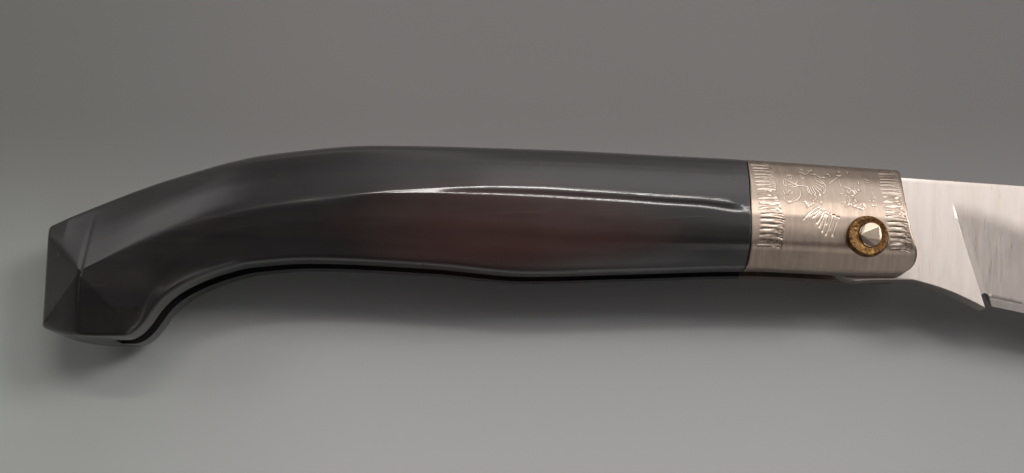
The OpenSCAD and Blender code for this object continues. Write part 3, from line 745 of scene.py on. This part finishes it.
drop_x = blade_len * 0.57
spine_path = [(0.0, spine_line(0)), (drop_x, spine_line(drop_x)),
              (blade_len * 0.8, mix(spine_line(blade_len * 0.8), tip_y, 0.08)),
              (blade_len * 0.92, mix(spine_line(blade_len * 0.92), tip_y, 0.4)), (blade_len, tip_y)]
plunge_lean, notch_rise = 0.256, 3.2
plunge_x = kick_x - (kick_depth + spine_line(kick_x)) * plunge_lean
notch_share = (choil_x - kick_x) / (blade_len - kick_x)
shoulder_x = spine_h * spine_fall + 0.05
tang_rows, ground_rows, tang_low_deg = 24, 262, 262
tang_low = math.radians(tang_low_deg)
kick_shares = [(0.37, -0.06), (0.55, 0.12), (0.74, 0.42), (0.9, 0.76)]
kick_line = [(tang_r * math.cos(tang_low), tang_r * math.sin(tang_low)), (2.2, -5.28),
             *[(kick_x * t, -mix(tang_r, kick_depth, share)) for t, share in kick_shares], (kick_x, -kick_depth)]


def arc_path(start_deg, end_deg, count):
    a = np.radians(np.linspace(start_deg, end_deg, count))
    return tang_r * np.column_stack([np.cos(a), np.sin(a)])


def blade_paths():
    """Upper and lower outline with as many points each, and how far each ruling is along the ground part."""
    spine_x = np.linspace(shoulder_x, plunge_x, 46)
    upper_root = np.concatenate([
        arc_path(180, 86, tang_rows), path([(shoulder_x, 5.6), (shoulder_x, spine_line(shoulder_x))], 8),
        np.column_stack([spine_x[1:], spine_line(spine_x[1:])])])
    kick_x_row = np.linspace(kick_line[0][0], kick_x, len(upper_root) - tang_rows + 1)[1:]
    lower_root = np.concatenate([arc_path(180, tang_low_deg, tang_rows),
                                 np.column_stack([kick_x_row, curve(kick_line, kick_x_row)])])
    centre = (kick_x + notch_r * 0.5, -kick_depth + notch_rise * notch_r)
    turn = np.radians(np.linspace(180, 10, 15))
    round_top = np.column_stack([centre[0] + notch_r * np.cos(turn), centre[1] + notch_r * np.sin(turn)])
    lower_notch = np.concatenate([path([(kick_x, -kick_depth), tuple(round_top[0])], 8)[1:], round_top[1:],
                                  path([tuple(round_top[-1]), (choil_x, -choil_depth)], 8)[1:]])
    ground = 1 - (1 - np.linspace(0, 1, ground_rows)) ** 1.15
    lower_x = mix(choil_x, blade_len, ground[1:])
    lower_edge = np.column_stack([lower_x, curve(edge_line, lower_x)])
    along_notch = np.linspace(0, notch_share, len(lower_notch) + 1)[1:]
    shares = np.concatenate([along_notch, mix(notch_share, 1.0, ground[1:])])
    upper_x = mix(plunge_x, blade_len, shares)
    upper_ground = np.column_stack([upper_x, curve(spine_path, upper_x)])
    upper = np.concatenate([upper_root, upper_ground])
    lower = np.concatenate([lower_root, lower_notch, lower_edge])
    share = np.concatenate([np.full(len(upper_root), -1.0), shares])
    return upper, lower, share


# %% [markdown]
# ## The grind
#
# A thick spine, a soft line under it where the wheel began to bite, a slope that thins towards the edge, and a
# narrow sharpened bevel: each is a term of the thickness across the blade.


# %% Thickness of the blade
root_half, tip_half, edge_half, chamfer = 1.5, 0.9, 0.02, 0.12
bite_soft, plunge_share = 0.07, 0.0016


def blade_half_thickness(share, across, width):
    """Half the thickness. share is how far along the ground part, across runs from 0 at the spine to 1 at the
    edge, width is the ruling's length in millimetres."""
    full = mix(root_half, tip_half, np.clip(share, 0, 1) ** 1.5)
    from_heel = step(share, 0.0, 0.4)
    behind_edge, bevel = mix(0.68, 0.3, from_heel), mix(1.2, 0.9, from_heel)
    bevel_start = 1 - bevel / np.maximum(width, 2.5)
    bite = 0.23 + 0.18 * step(share, 0.0, 0.16)
    slope = np.clip(soft_ramp(across - bite, bite_soft) / np.maximum(bevel_start - bite, 0.05), 0, 1)
    ground = behind_edge + np.maximum(full - behind_edge, 0) * (1 - slope)
    sharpened = np.clip((across - bevel_start) / (1 - bevel_start), 0, 1)
    ground = np.where(sharpened > 0, mix(behind_edge, edge_half, sharpened), ground)
    half = mix(root_half, ground, step(share, 0.0, plunge_share))
    at_edge = np.where(share < 0, np.minimum(across, 1 - across), across) * width
    return half - chamfer * (1 - np.clip(at_edge / chamfer, 0, 1))


def blade_rings():
    """Front and back of the blade as closed rings. A ruling that ends at the notch is a part of the full one
    beside it, so the notch is cut through the grind and doesn't bend it."""
    upper, lower, share = blade_paths()
    across = np.concatenate([[0, 0.006], np.linspace(0.02, 0.94, 46), np.linspace(0.95, 0.992, 8), [0.996, 1]])
    flat = mix(upper[:, None], lower[:, None], across[None, :, None])
    width = np.linalg.norm(upper - lower, axis=1)[:, None]
    ends_at_notch = (share[:, None] >= 0) & (share[:, None] < notch_share)
    part = np.where(ends_at_notch, width / width[np.searchsorted(share, notch_share)], 1.0)
    half = blade_half_thickness(share[:, None], across[None, :] * part, width / part)
    side = np.concatenate([flat, half[..., None]], axis=2)
    spine, edge = side[:, :1] * (1, 1, 0), side[:, -1:] * (1, 1, 0)
    rings = mirrored_rings(np.concatenate([spine, side, edge], axis=1))
    return np.concatenate([rings, rings[-1:] * (1, 1, 0)])


blade_grid = blade_rings()
blade = make_piece("ground_blade", blade_grid, grid_faces(*blade_grid.shape[:2], False, True), 24)
cut(blade, prism("bore_cutter", circle(pin_r + 0.05, 64), 4.0), 24)

# %% [markdown]
# ## The rivet
#
# The rivet is a rod whose ends were peened over and then filed, so each head is a low oval with a large face and
# smaller ones round it. It is a profile carried round its axis, and the filed faces are taken off the height.

# %% Lathe and rivet
pin_end = 9.0
head_half, head_low = (1.44, 1.68), 0.2
filed_faces = [(111, 0.62, 19), (261, 0.66, 14), (232, 0.9, 18), (5, 1.1, 24), (160, 1.2, 30)]
main_face = (3.0, 5.5)


def lathe(profile, turns):
    """Points of a profile (radius, z) carried round the z axis, as a grid of turns by profile points."""
    a = np.linspace(0, 2 * np.pi, turns, endpoint=False)
    radius, z = np.array(profile, float).T
    return np.stack([radius[None] * np.cos(a)[:, None], radius[None] * np.sin(a)[:, None],
                     z[None] + 0 * a[:, None]], axis=2)


def rivet_grid():
    """A rod with two oval heads. A filed face at angle b takes slope * (reach along b - its offset) off the height,
    wherever that is more than nothing."""
    head = [(r, pin_end) for r in np.linspace(0, 0.97, 20)] + [(0.99, pin_end - 0.03), (1.0, pin_end - 0.1),
                                                              (1.0, 8.25), (0.97, 8.1)]
    profile = head + [(pin_r / head_half[0], 8.0), (pin_r / head_half[0], -8.0)] + [(r, -z) for r, z in head[::-1]]
    points = lathe(profile, 120)
    x, y, z = (points[..., i] for i in range(3))
    oval = np.abs(z) > 8.05
    x *= head_half[0]
    y *= np.where(oval, head_half[1], head_half[0])
    fall = sum(math.tan(math.radians(slope)) * np.maximum(
        0, x * math.cos(math.radians(b)) + y * math.sin(math.radians(b)) - off) for b, off, slope in filed_faces)
    tilt_x, tilt_y = (math.tan(math.radians(a)) for a in main_face)
    fall = fall + tilt_x * (head_half[0] - x) + tilt_y * (head_half[1] - y)
    points[..., 2] = np.where(np.abs(z) > 8.8, np.sign(z) * (np.abs(z) - fall), z)
    points[..., 1] -= np.where(oval, head_low, 0.0)
    return points


points = rivet_grid()
rivet = make_piece("filed_rivet", points, grid_faces(*points.shape[:2], True, False), 30)


# %% [markdown]
# ## The rosettes
#
# The washers under the rivet's heads are dished brass, struck all round with a punch. They are a profile carried
# round the same axis, less the punch marks.

# %% Rosettes
rosette_r, rosette_t, off_centre = 2.9, 0.9, (-0.33, -0.3)
dish_line = [(pin_r, 0.6), (1.8, 0.66), (2.15, 0.78), (2.45, 0.86), (2.6, 0.87), (2.74, 0.82), (rosette_r, 0.6)]


def punch_marks(x, y):
    """Depth of the punch marks: three rings of round dimples, each a cap 1 - (distance / radius)^2, moved a little
    by a seeded hand."""
    hand = np.random.default_rng(11)
    depth = np.zeros(x.shape)
    for count, ring, radius, deep in [(24, 2.5, 0.2, 0.06), (19, 2.12, 0.19, 0.07), (15, 1.78, 0.17, 0.05)]:
        a = np.linspace(0, 2 * np.pi, count, endpoint=False) + hand.normal(0, 0.05, count)
        r = ring + hand.normal(0, 0.05, count)
        for mark_x, mark_y, strength in zip(r * np.cos(a), r * np.sin(a), hand.uniform(0.35, 1.0, count)):
            off = ((x - mark_x) ** 2 + (y - mark_y) ** 2) / radius ** 2
            depth = np.maximum(depth, deep * strength * np.clip(1 - off, 0, 1))
    return depth


def rosette_grid(side):
    """A dished washer: a rounded rim, a crest, and a slope down to the rivet, less the punch marks. Its rim is off
    centre, as it is on the real one, and the shift fades to nothing at the bore."""
    r, t = rosette_r, rosette_t
    rim = [(pin_r + 0.03, 0.0), (r - 0.06, 0.0), (r, 0.08), (r, t * 0.4), (r - 0.03, t * 0.62), (r - 0.1, t * 0.8)]
    face_r = np.linspace(r - 0.18, pin_r + 0.16, 34)
    bore = [(pin_r + 0.06, 0.56), (pin_r + 0.03, 0.5)]
    points = lathe(rim + list(zip(face_r, curve(dish_line, face_r))) + bore, 200)
    height = points[..., 2]
    height -= np.where(height > 0.45, punch_marks(points[..., 0], points[..., 1]), 0.0)
    points[..., 2] = side * (half_t + height)
    outwards = np.clip((np.hypot(points[..., :1], points[..., 1:2]) - pin_r) / (r - pin_r), 0, 1)
    points[..., :2] += outwards * off_centre
    return points


rosettes = []
for side, name in ((1, "front"), (-1, "back")):
    points = rosette_grid(side)
    rosettes.append(make_piece(f"punched_rosette_{name}", points, grid_faces(*points.shape[:2], True, True), 50))

# %% [markdown]
# ## Standing for the solids
#
# Each new piece rides on the body of the node that it stands for. The blade is the one moving body.

# %% Ride and replace
fixed = "handle_body"
for piece, body, node, finish in [
        (horn, fixed, "handle", "horn"), (collar, fixed, "collar", "collar_metal"),
        (blade, "blade_body", "blade", "blade_steel"), (rivet, fixed, "pivot_pin", "rivet_metal"),
        (rosettes[0], fixed, "front_rosette", "rosette_brass"), (rosettes[1], fixed, "back_rosette", "rosette_brass")]:
    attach(piece, body)
    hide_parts(node)

# %% [markdown]
# ## Finishes
#
# A finish is a small node tree that reads Object coordinates, so its grain keeps its real size in millimetres. A few
# helpers keep the trees short: one makes a node and joins its inputs, one gives noise at a size in millimetres.


# %% Node helpers
class Nodes:
    """A node tree and a short way to add nodes to it."""

    def __init__(self, tree):
        self.tree = tree

    def node(self, kind, inputs=None, **settings):
        node = self.tree.nodes.new(kind)
        for key, value in settings.items():
            setattr(node, key, value)
        for key, value in (inputs or {}).items():
            self.put(node.inputs[key], value)
        return node

    def put(self, socket, value):
        if isinstance(value, bpy.types.NodeSocket):
            self.tree.links.new(value, socket)
        else:
            socket.default_value = value

    def spread(self, value, low, high, to_low=0.0, to_high=1.0, smooth=True):
        """The value's stretch from low to high, spread over to_low to to_high."""
        kind = "SMOOTHSTEP" if smooth else "LINEAR"
        return self.node("ShaderNodeMapRange", {
            "Value": value, "From Min": low, "From Max": high, "To Min": to_low, "To Max": to_high},
            interpolation_type=kind).outputs["Result"]

    def math(self, operation, first, *others):
        """The first value joined with each of the others in turn."""
        for other in others:
            first = self.node("ShaderNodeMath", {0: first, 1: other}, operation=operation).outputs[0]
        return first

    def times(self, *values):
        return self.math("MULTIPLY", *values)

    def plus(self, *values):
        return self.math("ADD", *values)

    def mix(self, share, a, b, blend="MIX"):
        return self.node("ShaderNodeMix", {0: share, 6: a, 7: b}, data_type="RGBA",
                         blend_type=blend).outputs[2]


class Finish(Nodes):
    """A material on Object coordinates, with its principled shader."""

    def __init__(self, name):
        self.material = bpy.data.materials.new(name)
        self.material.use_nodes = True
        super().__init__(self.material.node_tree)
        self.shader = self.tree.nodes["Principled BSDF"]
        self.place = self.node("ShaderNodeTexCoord").outputs["Object"]

    def stretched(self, scale, turn=(0, 0, 0)):
        """The place, turned and then multiplied by scale along each axis."""
        turned = self.node("ShaderNodeMapping", {"Vector": self.place, "Rotation": turn}).outputs[0]
        return self.node("ShaderNodeMapping", {"Vector": turned, "Scale": scale}).outputs[0]

    def noise(self, size_mm, detail=3.0, rough=0.5, vector=None, warp=0.0):
        return self.node("ShaderNodeTexNoise", {
            "Vector": vector or self.place, "Scale": 1 / (size_mm * MM), "Detail": detail, "Roughness": rough,
            "Distortion": warp}).outputs["Fac"]

    def bump(self, height, strength, depth_mm, below=None):
        inputs = {"Height": height, "Strength": strength, "Distance": depth_mm * MM}
        if below is not None:
            inputs["Normal"] = below
        return self.node("ShaderNodeBump", inputs).outputs[0]

    def set(self, **inputs):
        for key, value in inputs.items():
            self.put(self.shader.inputs[key.replace("_", " ")], value)


# %% [markdown]
# ## Black horn
#
# Horn is layered like a fingernail, and light goes a little way in: most of it is black, and one zone glows brown.
# Polishing leaves fine scratches along the handle, a cloudy change of gloss, and a few open pores.

# %% Horn
f = horn_finish = Finish("black_horn")
where = f.node("ShaderNodeSeparateXYZ", {0: f.place}).outputs
glow_x, glow_y, glow_half = float(pivot[0] - 0.050), float(pivot[1] + 0.0015), (0.024, 0.0075)
off_x = f.math("DIVIDE", f.math("SUBTRACT", where[0], glow_x), glow_half[0])
off_y = f.math("DIVIDE", f.math("SUBTRACT", where[1], glow_y), glow_half[1])
distance_off = f.plus(f.times(off_x, off_x), f.times(off_y, off_y))
cloud = f.noise(14, 2.0, 0.5, vector=f.stretched((0.5, 1.0, 1.0)))
zone = f.spread(f.math("SUBTRACT", distance_off, f.times(cloud, 1.2)), 0.7, -0.6)
layers = f.noise(3.0, 4.0, 0.6, vector=f.stretched((0.06, 1.0, 1.0), (0, 0, 0.05)), warp=0.4)
black = f.mix(f.spread(layers, 0.3, 0.75), (0.0105, 0.0096, 0.0099, 1), (0.0165, 0.014, 0.0138, 1))
brown = f.mix(f.spread(layers, 0.3, 0.7), (0.035, 0.0185, 0.0165, 1), (0.052, 0.026, 0.0235, 1))
speck_cells = f.node("ShaderNodeTexVoronoi", {"Vector": f.place, "Scale": 260.0, "Randomness": 1.0})
speck = f.times(f.spread(speck_cells.outputs["Distance"], 0.055, 0.02),
                f.spread(f.node("ShaderNodeSeparateColor", {0: speck_cells.outputs["Color"]}).outputs[0], 0.86, 0.9))
dark_horn = f.mix(zone, black, brown)
fine = f.noise(0.5, 2.0, 0.6, vector=f.stretched((0.05, 1.0, 1.0), (0, 0, -0.06)))
across_scratch = f.noise(0.35, 2.0, 0.6, vector=f.stretched((0.12, 1.0, 1.0), (0, 0, 0.5)))
haze = f.noise(7.0, 5.0, 0.62)
gloss = f.plus(f.spread(haze, 0.3, 0.72, 0.27, 0.38), f.spread(fine, 0.55, 0.75, 0.0, 0.08))
skin = f.bump(f.noise(1.6, 3.0, 0.55), 0.25, 0.012)
skin = f.bump(f.spread(fine, 0.5, 0.8), 0.3, 0.01, skin)
skin = f.bump(f.spread(across_scratch, 0.68, 0.8), 0.25, 0.01, skin)
skin = f.bump(f.math("SUBTRACT", 1.0, speck), 0.6, 0.04, skin)
f.set(Base_Color=f.mix(speck, dark_horn, (0.16, 0.14, 0.13, 1)), Roughness=gloss, Normal=skin, IOR=1.54,
      Specular_IOR_Level=0.22, Coat_Weight=0.68, Coat_Roughness=0.1, Coat_IOR=1.5, Coat_Normal=skin)

# %% [markdown]
# ## Metals
#
# The collar and the blade are both brushed across their length, so their noise is stretched the other way. Where the
# graver cut, the attribute on the collar's surface takes the brushing away, paints a highlight towards each furrow's
# bottom and paints shade on its walls.

# %% Metals
f = collar_finish = Finish("nickel_silver")
furrow_share = f.node("ShaderNodeAttribute", attribute_name="cut").outputs["Fac"]
uncut = f.spread(furrow_share, 0.35, 0.05)
brushed = f.noise(0.09, 2.0, 0.7, vector=f.stretched((1.0, 0.04, 0.04)))
coarse = f.noise(0.5, 3.0, 0.6, vector=f.stretched((1.0, 0.1, 0.1)))
stain = f.noise(5.0, 4.0, 0.6)
silver = f.mix(f.spread(stain, 0.35, 0.75), (0.395, 0.315, 0.26, 1), (0.335, 0.262, 0.21, 1))
silver = f.mix(f.spread(coarse, 0.4, 0.8, 0.0, 0.5), silver, (0.52, 0.42, 0.35, 1))
# Painted highlight: the metal is painted brighter towards each furrow's bottom.
silver = f.mix(f.spread(furrow_share, 0.3, 0.85), silver, (0.8, 0.69, 0.59, 1))
# Painted shade on the furrows' walls, between their edge and their bottom.
painted_furrow_shade = f.times(f.spread(furrow_share, 0.0, 0.14), f.spread(furrow_share, 0.5, 0.2))
silver = f.mix(f.times(painted_furrow_shade, 0.4), silver, (0.16, 0.11, 0.08, 1))
rubbed = f.times(f.spread(brushed, 0.25, 0.75, 0.0, 0.1), uncut)
f.set(Base_Color=silver, Metallic=1.0, Roughness=f.plus(f.spread(uncut, 0.0, 1.0, 0.26, 0.29), rubbed),
      Normal=f.bump(f.times(brushed, uncut), 0.4, 0.006, f.bump(coarse, 0.2, 0.01)))

f = blade_finish = Finish("satin_blade")
brushed = f.noise(0.12, 2.0, 0.7, vector=f.stretched((1.0, 0.03, 0.05), (0, 0, 0.06)))
coarse = f.noise(1.2, 3.0, 0.6, vector=f.stretched((1.0, 0.1, 0.1), (0, 0, 0.06)))
steel = f.mix(f.spread(coarse, 0.3, 0.8), (0.56, 0.498, 0.462, 1), (0.505, 0.442, 0.402, 1))
f.set(Base_Color=steel, Metallic=1.0, Roughness=f.spread(brushed, 0.25, 0.75, 0.27, 0.38),
      Normal=f.bump(brushed, 0.2, 0.003, f.bump(coarse, 0.15, 0.006)))

f = rivet_finish = Finish("filed_nickel")
filed = f.noise(0.12, 3.0, 0.6, vector=f.stretched((1.0, 0.2, 1.0), (0, 0, 0.7)))
f.set(Base_Color=f.mix(filed, (0.68, 0.56, 0.45, 1), (0.56, 0.45, 0.36, 1)), Metallic=1.0,
      Roughness=f.spread(filed, 0.3, 0.7, 0.3, 0.42), Normal=f.bump(filed, 0.3, 0.01))

f = rosette_finish = Finish("aged_brass")
mottle = f.noise(0.7, 4.0, 0.65)
worn = f.noise(1.6, 3.0, 0.55)
brass = f.mix(f.spread(mottle, 0.35, 0.68), (0.085, 0.043, 0.02, 1), (0.25, 0.135, 0.053, 1))
brass = f.mix(f.spread(worn, 0.54, 0.74), brass, (0.4, 0.24, 0.07, 1))
f.set(Base_Color=brass, Metallic=1.0, Roughness=f.spread(mottle, 0.3, 0.7, 0.42, 0.66),
      Normal=f.bump(f.noise(0.3, 3.0, 0.6), 0.5, 0.03))

f = washer_finish = Finish("washer_bronze")
turned = f.noise(0.3, 3.0, 0.6)
f.set(Base_Color=f.mix(turned, (0.5, 0.3, 0.14, 1), (0.6, 0.38, 0.2, 1)), Metallic=1.0,
      Roughness=f.spread(turned, 0.3, 0.7, 0.3, 0.5), Normal=f.bump(turned, 0.2, 0.01))

for piece, finish in [(horn, horn_finish), (collar, collar_finish), (blade, blade_finish), (rivet, rivet_finish),
                      (rosettes[0], rosette_finish), (rosettes[1], rosette_finish)]:
    piece.data.materials.clear()
    piece.data.materials.append(finish.material)
for node in ("front_shim", "back_shim"):
    for material_slot in frame["nodes"][node].material_slots:
        material_slot.material = washer_finish.material

# %% [markdown]
# ## The floor
#
# The knife lies on a sheet of grey card. Its grey is painted with the fall of the light: lighter on the belly's side,
# darker along the spine and towards both ends of the knife, with a painted bright patch further out on the spine's side
# for the horn to reflect.

# %% Floor
floor_mesh = bpy.data.meshes.new("floor")
floor_mesh.from_pydata([(-2, -2, 0), (2, -2, 0), (2, 2, 0), (-2, 2, 0)], [], [(0, 1, 2, 3)])
floor = bpy.data.objects.new("floor", floor_mesh)
bpy.context.collection.objects.link(floor)
f = card = Finish("grey_card_painted_light")
where = f.node("ShaderNodeSeparateXYZ", {0: f.place}).outputs
# Painted falloff of light: the card is painted lighter on the belly's side and darker along the spine.
card_with_painted_light = f.mix(f.spread(where[1], -0.02, 0.024), (0.395, 0.392, 0.394, 1), (0.168, 0.16, 0.158, 1))
# Painted shade towards both ends of the knife, slightly green at the butt's end.
card_with_painted_light = f.mix(f.spread(where[0], -0.06, -0.13), card_with_painted_light, (0.77, 0.81, 0.77, 1), "MULTIPLY")
card_with_painted_light = f.mix(f.spread(where[0], -0.01, 0.03), card_with_painted_light, (0.9, 0.91, 0.91, 1), "MULTIPLY")
# A painted bright patch further out on the spine's side, for the horn's spine to reflect.
painted_bright_patch = f.times(f.spread(where[1], 0.04, 0.1), f.spread(where[0], -0.17, -0.03))
card_with_painted_light = f.mix(painted_bright_patch, card_with_painted_light, (0.74, 0.71, 0.69, 1))
# Painted shade, much darker far past the butt.
card_with_painted_light = f.mix(f.spread(where[0], -0.13, -0.4), card_with_painted_light, (0.2, 0.2, 0.193, 1))
f.set(Base_Color=card_with_painted_light, Roughness=0.8, Normal=f.bump(f.noise(0.4, 3.0, 0.5), 0.1, 0.02))
floor_mesh.materials.append(card.material)

# %% [markdown]
# ## The light of the room
#
# Polished metal shows the room it lies in, so the room's light is a function of the way a ray points. It has two
# windows and a wall on the spine's side, a nearer wall on the belly's, a patch of ceiling, a bright strip at either
# end, and the onlooker, who darkens and warms what lies straight above.

# %% Light of the room
world = bpy.data.worlds.new("room")
world.use_nodes = True
w = Nodes(world.node_tree)
direction = w.node("ShaderNodeTexCoord").outputs["Generated"]


def facing(*way):
    """How nearly the ray points the way of another vector, from -1 to 1: the dot product of unit vectors."""
    unit = tuple(Vector(way).normalized())
    return w.node("ShaderNodeVectorMath", {0: direction, 1: unit}, operation="DOT_PRODUCT").outputs["Value"]


def round_patch(way, outer_deg, inner_deg, strength=1.0):
    """A patch that has its full strength within the inner angle and fades out at the outer one."""
    outer, inner = math.cos(math.radians(outer_deg)), math.cos(math.radians(inner_deg))
    return w.spread(facing(*way), outer, inner, 0.0, strength)


sideways, back, up = facing(1, 0, 0), facing(0, 1, 0), facing(0, 0, 1)
window = w.times(w.spread(facing(0.27, 0.68, 0.68), 0.6, 0.98, 0.0, 0.95), w.spread(sideways, 0.12, 0.25, 1.0, 0.76))
wall = w.times(w.spread(back, 0.1, 1.0, 0.06, 0.76), w.spread(sideways, -0.45, 0.25, 0.74, 1.22))
dark_corner = w.times(w.spread(sideways, 0.02, -0.18), w.spread(sideways, -0.45, -0.3))
lit = w.times(w.plus(window, wall), w.spread(dark_corner, 0.0, 1.0, 1.0, 0.15, smooth=False))
left_window = round_patch((-0.58, 0.72, 0.38), 22, 8, 0.9)
near_wall = w.times(w.spread(sideways, 0.04, 0.16, 0.05, 1.0), w.spread(up, 0.45, 0.65, 0.5, 1.0),
                    w.spread(facing(0, -1, 0), 0.18, 0.36, 0.0, 1.05), w.spread(sideways, 0.45, 0.26))
ceiling = w.times(round_patch((0.39, 0.19, 0.9), 15, 5, 0.92), w.spread(sideways, 0.25, 0.33))
lean_back = w.math("DIVIDE", back, w.math("MAXIMUM", up, 0.01))
band = w.times(w.spread(lean_back, 0.25, 0.37), w.spread(lean_back, 0.78, 0.58))
at_right = w.times(w.spread(sideways, 0.5, 0.64, 0.0, 20.5), w.spread(sideways, 0.84, 0.74))
at_left = w.times(w.spread(sideways, -0.5, -0.64, 0.0, 5.0), w.spread(sideways, -0.84, -0.74))
around = w.plus(lit, left_window, near_wall, w.times(band, w.plus(at_right, at_left)), ceiling)
onlooker = w.times(round_patch((0.17, -0.16, 0.97), 20, 10), w.spread(sideways, 0.35, 0.29))
room = w.tree.nodes["Background"].inputs
w.put(room["Strength"], w.times(around, w.math("SUBTRACT", 1.0, w.times(onlooker, 0.98))))
w.put(room["Color"], w.mix(onlooker, (1.0, 0.985, 0.97, 1), (0.8, 0.55, 0.42, 1)))
bpy.context.scene.world = world

# %% [markdown]
# ## The lamps
#
# A long soft lamp in two parts hangs above the knife and leans towards its spine, so its shadow falls on the belly
# side.

# %% Lamps
lamp_up_deg, lamp_distance_m, lamp_depth_m, lamp_colour = 25, 0.7, 0.026, (1.0, 0.96, 0.92)


def soft_lamp(name, right_deg, length_m, watts):
    """A rectangular lamp that looks at the middle of the picture. right_deg leans it towards the tip."""
    lamp = bpy.data.objects.new(name, bpy.data.lights.new(name, "AREA"))
    lamp.data.shape = "RECTANGLE"
    lamp.data.size, lamp.data.size_y = length_m, lamp_depth_m
    lamp.data.energy, lamp.data.color = watts, lamp_colour
    way = Vector((math.tan(math.radians(right_deg)), math.tan(math.radians(lamp_up_deg)), 1.0)).normalized()
    lamp.location = Vector(look_at) + way * lamp_distance_m
    lamp.rotation_euler = way.to_track_quat("Z", "Y").to_euler()
    bpy.context.collection.objects.link(lamp)


soft_lamp("lamp_over_horn", -0.7, 0.214, 0.65)
soft_lamp("lamp_over_metal", 13.7, 0.14, 0.23)

# %% [markdown]
# ## The colour view
#
# The render shows colours as they are, with the Standard view transform.

# %% Colour view
bpy.context.scene.view_settings.view_transform = "Standard"
